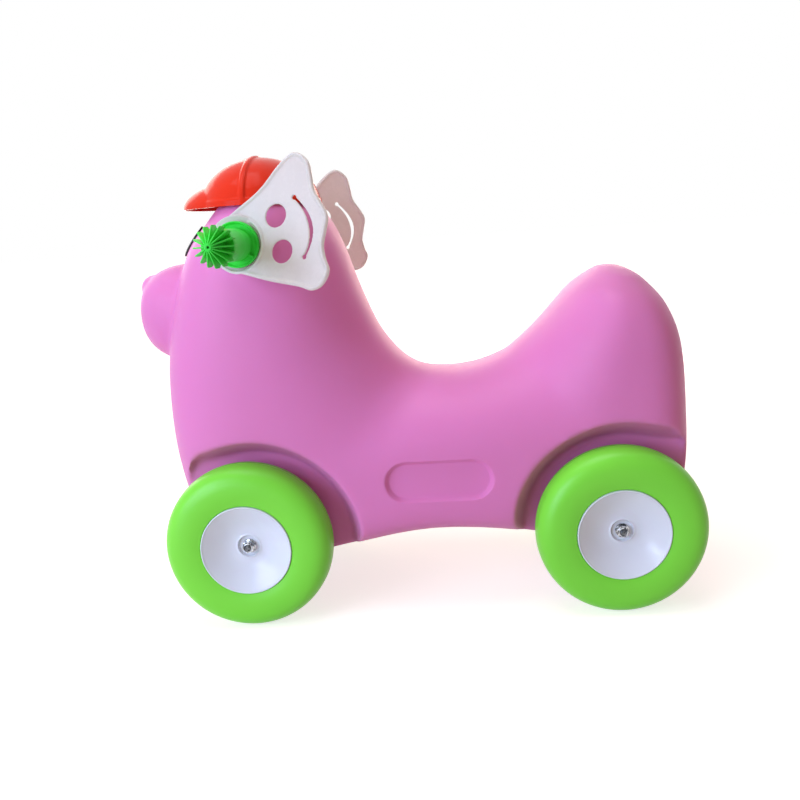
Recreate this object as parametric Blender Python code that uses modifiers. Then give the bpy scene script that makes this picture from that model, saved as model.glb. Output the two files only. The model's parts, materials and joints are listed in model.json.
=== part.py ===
"""Ride-on dog toy: a one-piece moulded body on four wheels, with ears, cap and hand grips.

Metres, +Z up. The toy faces -Y and its left side is +X. The origin is on the floor, in the middle
of the toy's length and width. Everything is placed from the front axle: y runs back from that axle
and h runs up from the axles' height, and spot() turns the two into a world position.
"""

import math
from dataclasses import dataclass

import bmesh
import bpy
from mathutils import Matrix, Vector

# Wheels
WHEEL_RADIUS = 0.100
TYRE_WIDTH = 0.055
WHEELBASE = 0.4375
RIM_RADIUS = 0.0535
TYRE_WIDEST_RADIUS = 0.072
TREAD_POWER = 2.6
TREAD_FLAT = 0.72
SHOULDER_START = 0.7
SHOULDER_POINTS = 3
TYRE_RIM_DROP = 0.003
DISH_DEPTH = 0.017
LIP_STEP = 0.0015
HUB_WALL = 0.0025
POCKET_RADIUS = 0.0135
POCKET_DEPTH = 0.003
POCKET_TAPER = 0.001
HUB_DISH_WALL = 0.0033
INNER_DISH_DEPTH = 0.012
INNER_POCKET_DEPTH = 0.001

# Axles and what runs on them
AXLE_RADIUS = 0.004
AXLE_PROUD = 0.003
AXLE_CHAMFER = 0.0006
NUT_FLATS = 0.013
NUT_HEIGHT = 0.008
WASHER_RADIUS = 0.008
WASHER_THICKNESS = 0.0016
BUSH_WALL = 0.0022
AXLE_BUSH_RADIUS = 0.009
AXLE_BUSH_LENGTH = 0.026
AXLE_BUSH_FLANGE_RADIUS = 0.0125
CLEARANCE = 0.0003

# Moulded body
BODY_HALF_WIDTH = 0.130
WHEEL_INSET = 0.0035
CHEST_OVERHANG = 0.104
RUMP_OVERHANG = 0.0905
SEAT_H = 0.180
HUMP_H = 0.297
HEAD_H = 0.430
BELLY_H = -0.006
AXLE_LOBE_H = -0.046
ARCH_RADIUS = 0.1315
ARCH_DROP = 0.007
ARCH_SETBACK = 0.005
ARCH_FLOOR_RADIUS = 0.116
ARCH_FLOOR_DROP = 0.0115
ARCH_DEPTH = 0.038
PANEL_LENGTH = 0.124
PANEL_HEIGHT = 0.047
PANEL_DEPTH = 0.005
PANEL_DRAFT = 0.004
PANEL_Y = 0.229
PANEL_H = 0.067

# Muzzle and nose; each drop is measured down from the top of the head
MUZZLE_Y = -0.0735
MUZZLE_DROP = 0.165
MUZZLE_REACH = 0.0655
MUZZLE_HALF_WIDTH = 0.060
MUZZLE_HALF_HEIGHT = 0.0585
MUZZLE_POWER = 2.4
NOSE_Y = -0.118
NOSE_DROP = 0.127
NOSE_REACH = 0.017
NOSE_HALF_WIDTH = 0.023
NOSE_HALF_HEIGHT = 0.018

# Cap
CAP_Y = 0.026
CAP_RIM_DROP = 0.0385
CAP_INSET = 0.025
CAP_HALF_LENGTH = 0.070
CAP_HEIGHT = 0.0563
CAP_WALL = 0.0027
BILL_REACH = 0.096
BILL_INSET = 0.012
BILL_HEIGHT = 0.031
BILL_ROOT = 0.020
CAP_BAND_HEIGHT = 0.007
CAP_BAND_PROUD = 0.0015
CAP_RIB_WIDTH = 0.006
CAP_RIB_PROUD = 0.002
CAP_SCREW_ANGLE = math.radians(25)
CAP_SCREW_H = 0.0065
SCREW_RADIUS = 0.0018
SCREW_LENGTH = 0.016
SCREW_HEAD_RADIUS = 0.004
SCREW_HEAD_HEIGHT = 0.0022
SCREW_HOLE_RUNOUT = 0.010

# Eyes
EYE_X = 0.055
EYE_DROP = 0.076
EYE_HALF_WIDTH = 0.011
EYE_HALF_HEIGHT = 0.0165
EYE_THICKNESS = 0.0025

# Handlebar, grips and ears
HANDLE_Y = 0.028
HANDLE_DROP = 0.081
BAR_RADIUS = 0.005
BAR_NUT_FLATS = 0.016
BAR_NUT_HEIGHT = 0.008
BAR_IN_GRIP = 0.088
HEAD_PAD_RADIUS = 0.033
HEAD_PAD_INSET = 0.0035
EAR_STANDOFF = 0.0255
EAR_SINK = 0.001
EAR_BOSS_RADIUS = 0.031
EAR_BOSS_WALL = 0.0030
EAR_FLOOR = 0.003
EAR_BOSS_RUNOUT = 0.060
EAR_FLARE = math.radians(20.3)
EAR_LEAN = math.radians(15.0)
EAR_WEB = 0.0024
EAR_RIM_THICKNESS = 0.0050
EAR_RIM_WIDTH = 0.0045
EAR_HOLE_RADIUS = 0.0124
SMILE_HALF_WIDTH = 0.0022
SMILE_END_RADIUS = 0.0025
GRIP_LENGTH = 0.112
GRIP_RADIUS = 0.0170
GRIP_FLANGE_RADIUS = 0.0246
GRIP_FLANGE_THICKNESS = 0.007
GRIP_FLANGE_VALLEY = 0.0035
GRIP_FLANGE_LIP = 0.0025
GRIP_FIN_RADIUS = 0.0210
GRIP_FIN_COUNT = 16
GRIP_FIN_THICKNESS = 0.0018
GRIP_FIN_DEPTH = 0.015
GRIP_FIN_SLOPE = 0.018
GRIP_FIN_RUN_IN = 0.006
GRIP_ROOT = 0.001
GRIP_EDGE = 0.0015
GRIP_CORE_RADIUS = 0.0072
GRIP_GUSSET_ANGLE = math.radians(51)
GRIP_GUSSET_THICKNESS = 0.0016
GRIP_GUSSET_RISE = 0.005
GRIP_TIP_HOLE_RADIUS = 0.0012
GRIP_TIP_HOLE_DEPTH = 0.006
GRIP_BORE_SPARE = 0.002

# Facets
TYRE_STEPS = 28
HUB_STEPS = 20
SMALL_STEPS = 12
RING_SEGMENTS = 24
CAP_STEPS = 24
CAP_RINGS = 12
SCREW_STEPS = 8
RINGS_PER_STATION = 2
HEAD_STATIONS = 6
LONG = 1.0

# Worked out from the sizes above
def clear_bore(shaft_radius, steps=SMALL_STEPS):
    """Radius of a faceted bore whose flats stay clear of a shaft."""
    return (shaft_radius + CLEARANCE) / math.cos(math.pi / steps)


AXLE_Z = WHEEL_RADIUS * math.cos(math.pi / TYRE_STEPS)
WHEEL_MID_X = BODY_HALF_WIDTH - WHEEL_INSET
ARCH_FLOOR_X = BODY_HALF_WIDTH - ARCH_DEPTH
HEAD_PAD_X = BODY_HALF_WIDTH - HEAD_PAD_INSET
EAR_SEAT_X = HEAD_PAD_X + EAR_STANDOFF
CAP_HALF_WIDTH = BODY_HALF_WIDTH - CAP_INSET
BILL_HALF_WIDTH = CAP_HALF_WIDTH - BILL_INSET
MUZZLE_H = HEAD_H - MUZZLE_DROP
NOSE_H = HEAD_H - NOSE_DROP
EYE_H = HEAD_H - EYE_DROP
CAP_RIM_H = HEAD_H - CAP_RIM_DROP
HANDLE_H = HEAD_H - HANDLE_DROP
NOSE_OVERHANG = -(NOSE_Y - NOSE_REACH)
MUZZLE_OVERHANG = -(MUZZLE_Y - MUZZLE_REACH)
FRONT_OVERHANG = max(NOSE_OVERHANG, MUZZLE_OVERHANG)
REAR_OVERHANG = max(RUMP_OVERHANG, AXLE_Z)
FRONT_AXLE_Y = (FRONT_OVERHANG - WHEELBASE - REAR_OVERHANG) / 2
HALF_TYRE = TYRE_WIDTH / 2
BORE_RADIUS = clear_bore(AXLE_RADIUS)
BAR_BORE_RADIUS = clear_bore(BAR_RADIUS)
DISH_FLOOR = HALF_TYRE - LIP_STEP - DISH_DEPTH
POCKET_FLOOR = DISH_FLOOR - POCKET_DEPTH


def spot(x, y, h):
    """World position of a point given from the front axle."""
    return Vector((x, FRONT_AXLE_Y + y, AXLE_Z + h))


@dataclass(frozen=True)
class Station:
    """A section of the body in the side view, from its outer edge to its inner edge.

    The outer edge runs down the chest, along the belly and up the rump. The inner edge runs down
    the neck, along the seat and up the hump. waist is where the section is widest, as a share of
    the way from the inner edge, and the powers round the two halves off.
    """

    outer: tuple
    inner: tuple
    half_width: float
    waist: float = 0.5
    outer_power: float = 3.0
    inner_power: float = 2.4


def up_neck(share):
    """Height on the back of the neck, as a share of the way from the seat to the head's top."""
    return SEAT_H + share * (HEAD_H - SEAT_H)


def up_chest(share):
    """Height on the chest, as a share of the head's height above the axles."""
    return share * HEAD_H


def up_hump(share):
    """Height on the front of the hump, as a share of the way from the seat to its top."""
    return SEAT_H + share * (HUMP_H - SEAT_H)


CHEST = -CHEST_OVERHANG
REAR = WHEELBASE
RUMP = WHEELBASE + RUMP_OVERHANG
MID = WHEELBASE / 2
FULL = BODY_HALF_WIDTH
HEAD_TOP = (0.030, HEAD_H)
HUMP_TOP = (REAR + 0.015, HUMP_H)
STATIONS = (
    Station((0.003, HEAD_H - 0.008), (0.060, up_neck(0.970)), FULL - 0.070, 0.50, 2.2, 2.2),
    Station((-0.027, HEAD_H - 0.038), (0.088, up_neck(0.850)), FULL - 0.031, 0.54, 2.3, 2.2),
    Station((-0.041, HEAD_H - 0.055), (0.106, up_neck(0.775)), FULL - 0.021, 0.54, 2.4, 2.2),
    Station((-0.063, HEAD_H - 0.090), (0.122, up_neck(0.640)), FULL - 0.009, 0.53, 2.5, 2.2),
    Station((CHEST + 0.018, up_chest(0.640)), (0.140, up_neck(0.420)), FULL - 0.002, 0.50, 2.6, 2.2),
    Station((CHEST + 0.003, up_chest(0.465)), (0.160, up_neck(0.225)), FULL, 0.50, 2.8, 2.2),
    Station((CHEST + 0.002, up_chest(0.256)), (0.182, up_neck(0.100)), FULL, 0.50, 3.0, 2.3),
    Station((CHEST + 0.016, 0.030), (0.200, up_neck(0.040)), FULL, 0.50, 3.2, 2.3),
    Station((CHEST + 0.038, -0.034), (0.215, up_neck(0.014)), FULL, 0.50, 3.6, 2.4),
    Station((0.010, AXLE_LOBE_H), (MID + 0.007, SEAT_H + 0.001), FULL, 0.50, 4.2, 2.4),
    Station((0.100, BELLY_H - 0.019), (MID + 0.019, SEAT_H), FULL, 0.50, 5.0, 2.4),
    Station((MID, BELLY_H), (MID + 0.043, SEAT_H), FULL, 0.50, 5.0, 2.4),
    Station((REAR - 0.092, BELLY_H - 0.011), (MID + 0.072, up_hump(0.050)), FULL, 0.50, 5.0, 2.4),
    Station((REAR - 0.004, AXLE_LOBE_H), (MID + 0.099, up_hump(0.145)), FULL, 0.50, 4.2, 2.4),
    Station((RUMP - 0.020, -0.030), (REAR - 0.104, up_hump(0.250)), FULL, 0.50, 3.6, 2.3),
    Station((RUMP - 0.001, 0.050), (REAR - 0.086, up_hump(0.380)), FULL, 0.50, 3.6, 2.3),
    Station((RUMP, 0.130), (REAR - 0.068, up_hump(0.530)), FULL - 0.001, 0.50, 3.4, 2.3),
    Station((RUMP - 0.004, 0.205), (REAR - 0.050, up_hump(0.695)), FULL - 0.010, 0.49, 3.0, 2.2),
    Station((RUMP - 0.020, 0.252), (REAR - 0.034, up_hump(0.825)), FULL - 0.026, 0.48, 2.6, 2.2),
    Station((RUMP - 0.045, HUMP_H - 0.015), (REAR - 0.012, up_hump(0.945)), FULL - 0.060, 0.5, 2.3, 2.2),
)

# Ear outline, from the handlebar's axis: back along the blade, then up the blade
EAR_OUTLINE = (
    (-0.0228, 0.0222), (0.0227, 0.0554), (0.0439, 0.0783), (0.0567, 0.0899), (0.0675, 0.0931),
    (0.0788, 0.0827), (0.0840, 0.0655), (0.0900, 0.0516), (0.1026, 0.0341), (0.1075, 0.0230),
    (0.1051, 0.0082), (0.1031, -0.0061), (0.1065, -0.0197), (0.1106, -0.0322), (0.1044, -0.0463),
    (0.0941, -0.0522), (0.0772, -0.0476), (0.0441, -0.0414), (0.0098, -0.0328), (-0.0138, -0.0264),
    (-0.0290, -0.0080),
)
EAR_HOLES = ((0.0467, 0.0282), (0.0564, -0.0100))
SMILE = ((0.0681, 0.0463), (0.0895, 0.0154), (0.0836, -0.0170))


# Scene


def clear_scene():
    """Removes everything that is in the file."""
    for obj in list(bpy.data.objects):
        bpy.data.objects.remove(obj)


def make_collection(name, hidden=False):
    """Adds a collection to the scene."""
    collection = bpy.data.collections.new(name)
    collection.hide_render = hidden
    bpy.context.scene.collection.children.link(collection)
    return collection


def make_material(name, colour, roughness, metallic=0.0):
    """A Principled BSDF material in a linear colour."""
    material = bpy.data.materials.new(name)
    material.use_nodes = True
    shader = material.node_tree.nodes["Principled BSDF"]
    shader.inputs["Base Color"].default_value = (*colour, 1.0)
    shader.inputs["Roughness"].default_value = roughness
    shader.inputs["Metallic"].default_value = metallic
    return material


clear_scene()
TOY = make_collection("ride_on_dog_toy")
CUTTERS = make_collection("cutters", hidden=True)
BODY_PINK = make_material("body_pink", (0.66, 0.22, 0.54), 0.45)
TYRE_GREEN = make_material("tyre_green", (0.20, 0.72, 0.07), 0.40)
HUB_WHITE = make_material("hub_white", (0.76, 0.80, 0.88), 0.25)
EAR_WHITE = make_material("ear_white", (0.83, 0.84, 0.86), 0.30)
CAP_RED = make_material("cap_red", (0.83, 0.045, 0.02), 0.22)
GRIP_GREEN = make_material("grip_green", (0.05, 0.52, 0.06), 0.40)
EYE_BLACK = make_material("eye_black", (0.01, 0.008, 0.012), 0.30)
ZINC = make_material("zinc_steel", (0.62, 0.62, 0.60), 0.30, 1.0)
NYLON = make_material("nylon", (0.78, 0.77, 0.72), 0.50)


def add_object(name, mesh, material):
    """Adds a mesh to the toy as a named piece."""
    obj = bpy.data.objects.new(name, mesh)
    TOY.objects.link(obj)
    mesh.materials.clear()
    mesh.materials.append(material)
    return obj


def add_cutter(name, mesh):
    """Adds a mesh that only shapes other pieces."""
    obj = bpy.data.objects.new(name, mesh)
    CUTTERS.objects.link(obj)
    obj.hide_render = True
    obj.display_type = "WIRE"
    return obj


def boolean(obj, other, operation="DIFFERENCE"):
    """Cuts, joins or intersects obj with another object."""
    modifier = obj.modifiers.new(f"{operation.lower()} {other.name}", "BOOLEAN")
    modifier.operation = operation
    modifier.solver = "EXACT"
    modifier.object = other


def smooth(obj, angle=math.radians(40)):
    """Shades an object smooth, apart from its sharp edges."""
    obj.data.shade_smooth()
    obj.data.set_sharp_from_angle(angle=angle)


def finished_mesh(obj):
    """The object's mesh with its modifiers applied, in place of the object."""
    bpy.context.view_layer.update()
    graph = bpy.context.evaluated_depsgraph_get()
    mesh = bpy.data.meshes.new_from_object(obj.evaluated_get(graph))
    mesh.transform(obj.matrix_world)
    bm = bmesh.new()
    bm.from_mesh(mesh)
    bmesh.ops.remove_doubles(bm, verts=bm.verts, dist=1e-6)
    bm.to_mesh(mesh)
    bm.free()
    bpy.data.objects.remove(obj)
    return mesh


# Forms


def cylinder_mesh(radius, low, high, steps=SMALL_STEPS, axis="X", top_radius=None):
    """A closed cylinder or cone along an axis, between two stations on it."""
    bm = bmesh.new()
    bmesh.ops.create_cone(
        bm,
        cap_ends=True,
        segments=steps,
        radius1=radius,
        radius2=radius if top_radius is None else top_radius,
        depth=high - low,
    )
    bmesh.ops.translate(bm, verts=bm.verts, vec=(0, 0, (low + high) / 2))
    turn = {
        "X": Matrix.Rotation(math.pi / 2, 4, "Y"),
        "Y": Matrix.Rotation(-math.pi / 2, 4, "X"),
        "Z": Matrix.Identity(4),
    }[axis]
    bmesh.ops.transform(bm, matrix=turn, verts=bm.verts)
    mesh = bpy.data.meshes.new("cylinder")
    bm.to_mesh(mesh)
    bm.free()
    return mesh


def ball_mesh(semi_axes, segments=28, rings=14, power=2.0):
    """An ellipsoid about the origin, squarer for a higher power."""
    bm = bmesh.new()
    bmesh.ops.create_uvsphere(bm, u_segments=segments, v_segments=rings, radius=1.0)
    for vert in bm.verts:
        vert.co /= sum(abs(value) ** power for value in vert.co) ** (1 / power)
    bmesh.ops.scale(bm, vec=semi_axes, verts=bm.verts)
    mesh = bpy.data.meshes.new("ball")
    bm.to_mesh(mesh)
    bm.free()
    mesh.shade_smooth()
    return mesh


def box_mesh(low, high):
    """A box between two corners."""
    bm = bmesh.new()
    bmesh.ops.create_cube(bm, size=1.0)
    size = [b - a for a, b in zip(low, high)]
    middle = [(a + b) / 2 for a, b in zip(low, high)]
    bmesh.ops.scale(bm, vec=size, verts=bm.verts)
    bmesh.ops.translate(bm, vec=middle, verts=bm.verts)
    mesh = bpy.data.meshes.new("box")
    bm.to_mesh(mesh)
    bm.free()
    return mesh


def turned(name, profile, steps, material):
    """A turned piece: a closed (radius, z) profile, clockwise, on a Screw modifier about Z."""
    mesh = bpy.data.meshes.new(name)
    points = [(radius, 0.0, z) for radius, z in profile]
    edges = [(i, (i + 1) % len(points)) for i in range(len(points))]
    mesh.from_pydata(points, edges, [])
    obj = add_object(name, mesh, material)
    screw = obj.modifiers.new("turn", "SCREW")
    screw.angle = 2 * math.pi
    screw.steps = steps
    screw.render_steps = steps
    screw.use_merge_vertices = True
    screw.merge_threshold = 1e-5
    screw.use_smooth_shade = True
    return obj


def loft_mesh(rings, first_pole=None, last_pole=None):
    """Faces between rings of equally many points, closed by a pole or a flat cap at each end."""
    bm = bmesh.new()
    rows = [[bm.verts.new(point) for point in ring] for ring in rings]
    count = len(rows[0])
    for row, after in zip(rows, rows[1:]):
        for i in range(count):
            j = (i + 1) % count
            bm.faces.new((row[i], row[j], after[j], after[i]))
    for row, pole in ((rows[0], first_pole), (rows[-1], last_pole)):
        if pole is None:
            bm.faces.new(row)
            continue
        tip = bm.verts.new(pole)
        for i in range(count):
            bm.faces.new((row[i], row[(i + 1) % count], tip))
    bmesh.ops.recalc_face_normals(bm, faces=bm.faces)
    mesh = bpy.data.meshes.new("loft")
    bm.to_mesh(mesh)
    bm.free()
    return mesh


def mirrored(mesh):
    """A copy of a mesh for the toy's right side."""
    bm = bmesh.new()
    bm.from_mesh(mesh)
    bmesh.ops.scale(bm, vec=(-1, 1, 1), verts=bm.verts)
    bmesh.ops.reverse_faces(bm, faces=bm.faces)
    copy = bpy.data.meshes.new(mesh.name)
    bm.to_mesh(copy)
    bm.free()
    return copy


# Body


def between(a, b, c, d, t):
    """Catmull-Rom value between b and c."""
    return 0.5 * (
        2 * b + (c - a) * t + (2 * a - 5 * b + 4 * c - d) * t**2 + (3 * b - a - 3 * c + d) * t**3
    )


def smooth_stations(stations, steps):
    """Stations with steps sections in each gap, on a smooth curve through all their values."""
    rows = [
        (*s.outer, *s.inner, s.half_width, s.waist, s.outer_power, s.inner_power) for s in stations
    ]
    found = []
    for i in range(len(rows) - 1):
        near = [rows[min(max(k, 0), len(rows) - 1)] for k in (i - 1, i, i + 1, i + 2)]
        for step in range(steps):
            row = [between(*values, step / steps) for values in zip(*near)]
            found.append(Station(tuple(row[:2]), tuple(row[2:4]), *row[4:]))
    return found + [stations[-1]]


def resampled(points, count):
    """count + 1 points at equal steps along a line of points."""
    lengths = [0.0]
    for a, b in zip(points, points[1:]):
        lengths.append(lengths[-1] + (b - a).length)
    found, k = [], 0
    for i in range(count + 1):
        want = lengths[-1] * i / count
        while k < len(points) - 2 and lengths[k + 1] < want:
            k += 1
        share = (want - lengths[k]) / (lengths[k + 1] - lengths[k])
        found.append(points[k].lerp(points[k + 1], min(max(share, 0.0), 1.0)))
    return found


def section(station, segments, grown=0.0):
    """The ring of world points of one section, grown outward all round by a small distance."""
    outer = Vector(station.outer)
    inner = Vector(station.inner)
    along = (outer - inner).normalized()
    widest = inner.lerp(outer, station.waist)
    dense = 96
    half = []
    for i in range(dense + 1):
        angle = math.pi * i / dense
        edge, power = (inner, station.inner_power) if angle < math.pi / 2 else (outer, station.outer_power)
        reach = (edge - widest).dot(along)
        reach += math.copysign(grown, reach)
        share = abs(math.cos(angle)) ** (2 / power)
        place = widest + along * reach * share
        x = (station.half_width + grown) * abs(math.sin(angle)) ** (2 / power)
        half.append(spot(x, place.x, place.y))
    side = resampled(half, segments // 2)
    other = [Vector((-p.x, p.y, p.z)) for p in reversed(side[1:-1])]
    return side + other


def body_mesh():
    """The body's outer skin as one closed form."""
    rings = [section(s, RING_SEGMENTS) for s in smooth_stations(STATIONS, RINGS_PER_STATION)]
    return loft_mesh(rings, spot(0, *HEAD_TOP), spot(0, *HUMP_TOP))


def head_mesh(grown):
    """The head's outer skin down to the neck, grown by a small distance and closed flat below."""
    head = smooth_stations(STATIONS[:HEAD_STATIONS], RINGS_PER_STATION)
    rings = [section(s, RING_SEGMENTS, grown) for s in head]
    return loft_mesh(rings, spot(0, *HEAD_TOP) + Vector((0, 0, grown)))


def wheel_arch_cutter(name, axle_y, side):
    """A cone that opens the wheel arch outward from its floor."""
    slope = (ARCH_RADIUS - ARCH_FLOOR_RADIUS) / (BODY_HALF_WIDTH - ARCH_FLOOR_X)
    reach = 2 * (BODY_HALF_WIDTH - ARCH_FLOOR_X)
    mesh = cylinder_mesh(
        ARCH_FLOOR_RADIUS, 0.0, reach, TYRE_STEPS, "X", ARCH_FLOOR_RADIUS + slope * reach
    )
    shear = Matrix.Identity(4)
    shear[2][0] = (ARCH_FLOOR_DROP - ARCH_DROP) / (BODY_HALF_WIDTH - ARCH_FLOOR_X)
    mesh.transform(shear)
    mesh.transform(Matrix.Translation(spot(ARCH_FLOOR_X, axle_y + ARCH_SETBACK, -ARCH_FLOOR_DROP)))
    return add_cutter(name, mesh if side > 0 else mirrored(mesh))


def stadium(length, height, x, per_end=8):
    """Points of a round-ended slot outline in the plane x."""
    radius = height / 2
    straight = length / 2 - radius
    points = []
    for end in (1, -1):
        for i in range(per_end + 1):
            angle = -math.pi / 2 + math.pi * i / per_end + (0 if end > 0 else math.pi)
            y = end * straight + radius * math.cos(angle)
            points.append(spot(x, PANEL_Y + y, PANEL_H + radius * math.sin(angle)))
    return points


def side_panel_cutter(name, side):
    """A shallow round-ended recess in the side, wider at its mouth."""
    floor_x = BODY_HALF_WIDTH - PANEL_DEPTH
    rise = 2 * PANEL_DEPTH
    spread = 2 * PANEL_DRAFT * rise / PANEL_DEPTH
    mesh = loft_mesh(
        [
            stadium(PANEL_LENGTH - 2 * PANEL_DRAFT, PANEL_HEIGHT - 2 * PANEL_DRAFT, floor_x),
            stadium(
                PANEL_LENGTH - 2 * PANEL_DRAFT + spread,
                PANEL_HEIGHT - 2 * PANEL_DRAFT + spread,
                floor_x + rise,
            ),
        ]
    )
    return add_cutter(name, mesh if side > 0 else mirrored(mesh))


def cap_screw_frame(side):
    """Where a cap screw stands: on the cap's side, square to its wall, its axis along local X."""
    x = CAP_HALF_WIDTH * math.cos(CAP_SCREW_ANGLE)
    y = CAP_HALF_LENGTH * math.sin(CAP_SCREW_ANGLE)
    turn = math.atan2(math.sin(CAP_SCREW_ANGLE) / CAP_HALF_LENGTH, math.cos(CAP_SCREW_ANGLE) / CAP_HALF_WIDTH)
    place = spot(x + CAP_BAND_PROUD, CAP_Y + y, CAP_RIM_H + CAP_SCREW_H)
    frame = Matrix.Translation(place) @ Matrix.Rotation(turn, 4, "Z")
    return frame if side > 0 else Matrix.Scale(-1, 4, (1, 0, 0)) @ frame @ Matrix.Scale(-1, 4, (0, 1, 0))


def cap_screw_hole(name, side):
    """The hole of a cap screw, through the cap and into the head."""
    radius = clear_bore(SCREW_RADIUS, SCREW_STEPS)
    hole = add_cutter(name, cylinder_mesh(radius, -SCREW_LENGTH, SCREW_HOLE_RUNOUT, SCREW_STEPS))
    hole.matrix_world = cap_screw_frame(side)
    return hole


def make_body():
    """The one-piece body with its muzzle, nose, arches, recesses and through holes."""
    body = add_object("body", body_mesh(), BODY_PINK)
    muzzle_size = (MUZZLE_HALF_WIDTH, MUZZLE_REACH, MUZZLE_HALF_HEIGHT)
    muzzle = add_cutter("muzzle_form", ball_mesh(muzzle_size, 20, 12, MUZZLE_POWER))
    muzzle.location = spot(0, MUZZLE_Y, MUZZLE_H)
    nose = add_cutter("nose_form", ball_mesh((NOSE_HALF_WIDTH, NOSE_REACH, NOSE_HALF_HEIGHT), 14, 8))
    nose.location = spot(0, NOSE_Y, NOSE_H)
    pads = add_cutter("ear_pads", cylinder_mesh(HEAD_PAD_RADIUS, -HEAD_PAD_X, HEAD_PAD_X, HUB_STEPS))
    pads.location = spot(0, HANDLE_Y, HANDLE_H)
    for form in (muzzle, nose, pads):
        boolean(body, form, "UNION")
    for side, word in ((1, "left"), (-1, "right")):
        for axle_y, end in ((0.0, "front"), (WHEELBASE, "rear")):
            boolean(body, wheel_arch_cutter(f"arch_{end}_{word}", axle_y, side))
        boolean(body, side_panel_cutter(f"panel_{word}", side))
        boolean(body, cap_screw_hole(f"head_hole_{word}", side))
    for axle_y, end in ((0.0, "front"), (WHEELBASE, "rear")):
        tunnel = add_cutter(
            f"tunnel_{end}", cylinder_mesh(clear_bore(AXLE_BUSH_RADIUS), -LONG / 4, LONG / 4)
        )
        tunnel.location = spot(0, axle_y, 0)
        boolean(body, tunnel)
    bore = add_cutter("handlebar_tunnel", cylinder_mesh(BAR_BORE_RADIUS, -LONG / 4, LONG / 4))
    bore.location = spot(0, HANDLE_Y, HANDLE_H)
    boolean(body, bore)
    smooth(body)


def make_eyes():
    """Two oval buttons that follow the head's front."""
    for side, word in ((1, "left"), (-1, "right")):
        low = FRONT_AXLE_Y - CHEST_OVERHANG
        mesh = cylinder_mesh(1.0, low, FRONT_AXLE_Y, HUB_STEPS, "Y")
        mesh.transform(Matrix.Diagonal((EYE_HALF_WIDTH, 1.0, EYE_HALF_HEIGHT, 1.0)))
        mesh.transform(Matrix.Translation((side * EYE_X, 0, AXLE_Z + EYE_H)))
        eye = add_object(f"eye_{word}", mesh, EYE_BLACK)
        outside = add_cutter(f"eye_outside_{word}", head_mesh(CLEARANCE + EYE_THICKNESS))
        inside = add_cutter(f"eye_inside_{word}", head_mesh(CLEARANCE))
        boolean(eye, outside, "INTERSECT")
        boolean(eye, inside)


# Cap


def cap_dome(name, half_width, half_length, height, keep=None):
    """An upper half of an ellipsoid on the cap's rim, or only what lies in a range of y."""
    dome = add_cutter(name, ball_mesh((half_width, half_length, height), CAP_STEPS, CAP_RINGS))
    dome.location = spot(0, CAP_Y, CAP_RIM_H)
    if keep is not None:
        low, high = keep
        block = add_cutter(
            f"{name}_block", box_mesh(spot(-LONG, CAP_Y + low, 0), spot(LONG, CAP_Y + high, LONG))
        )
        boolean(dome, block, "INTERSECT")
    return dome


def make_cap():
    """The peaked cap: crown, bill, cross rib and band in one shell that is open below."""
    wall = CAP_WALL
    crown = (CAP_HALF_WIDTH, CAP_HALF_LENGTH, CAP_HEIGHT)
    bill = (BILL_HALF_WIDTH, BILL_REACH, BILL_HEIGHT)
    cap = add_object("cap", ball_mesh(crown, CAP_STEPS, CAP_RINGS), CAP_RED)
    cap.location = spot(0, CAP_Y, CAP_RIM_H)
    boolean(cap, cap_dome("bill_form", *bill, keep=(-LONG, -BILL_ROOT)), "UNION")
    half_rib = CAP_RIB_WIDTH / 2
    rib = [size + CAP_RIB_PROUD for size in crown]
    boolean(cap, cap_dome("cap_rib_form", *rib, keep=(-half_rib, half_rib)), "UNION")
    band = cap_dome("cap_band_form", *[size + CAP_BAND_PROUD for size in crown])
    band_top = CAP_RIM_H + CAP_BAND_HEIGHT
    block = add_cutter("cap_band_block", box_mesh(spot(-LONG, -LONG, 0), spot(LONG, LONG, band_top)))
    boolean(band, block, "INTERSECT")
    boolean(cap, band, "UNION")
    boolean(cap, cap_dome("crown_hollow", *[size - wall for size in crown]))
    boolean(cap, cap_dome("bill_hollow", *[size - wall for size in bill], keep=(-LONG, 0.0)))
    below = add_cutter("cap_below", box_mesh(spot(-LONG, -LONG, -LONG), spot(LONG, LONG, CAP_RIM_H)))
    boolean(cap, below)
    boolean(cap, add_cutter("head_form", head_mesh(CLEARANCE)))
    for side, word in ((1, "left"), (-1, "right")):
        boolean(cap, cap_screw_hole(f"cap_hole_{word}", side))
        make_cap_screw(side, word)
    smooth(cap)


def make_cap_screw(side, word):
    """A pan-head screw that holds the cap to the head."""
    shank_end = -(SCREW_LENGTH - CLEARANCE)
    profile = (
        (0.0, SCREW_HEAD_HEIGHT),
        (SCREW_HEAD_RADIUS * 0.6, SCREW_HEAD_HEIGHT),
        (SCREW_HEAD_RADIUS, SCREW_HEAD_HEIGHT * 0.35),
        (SCREW_HEAD_RADIUS, 0.0),
        (SCREW_RADIUS, 0.0),
        (SCREW_RADIUS, shank_end + SCREW_RADIUS),
        (0.0, shank_end),
    )
    rings = []
    for radius, z in profile[1:-1]:
        angles = [2 * math.pi * i / SCREW_STEPS for i in range(SCREW_STEPS)]
        rings.append([Vector((z, radius * math.cos(a), radius * math.sin(a))) for a in angles])
    mesh = loft_mesh(rings, Vector((profile[0][1], 0, 0)), Vector((profile[-1][1], 0, 0)))
    screw = add_object(f"cap_screw_{word}", mesh, ZINC)
    screw.matrix_world = cap_screw_frame(side) @ Matrix.Translation((CLEARANCE, 0, 0))
    smooth(screw)


# Wheels and axles


def outboard(obj, side, x, y, h):
    """Places a turned piece so that its own Z points away from the toy's middle."""
    obj.location = spot(side * x, y, h)
    obj.rotation_euler = (0, math.pi / 2, 0 if side > 0 else math.pi)
    return obj


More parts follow.
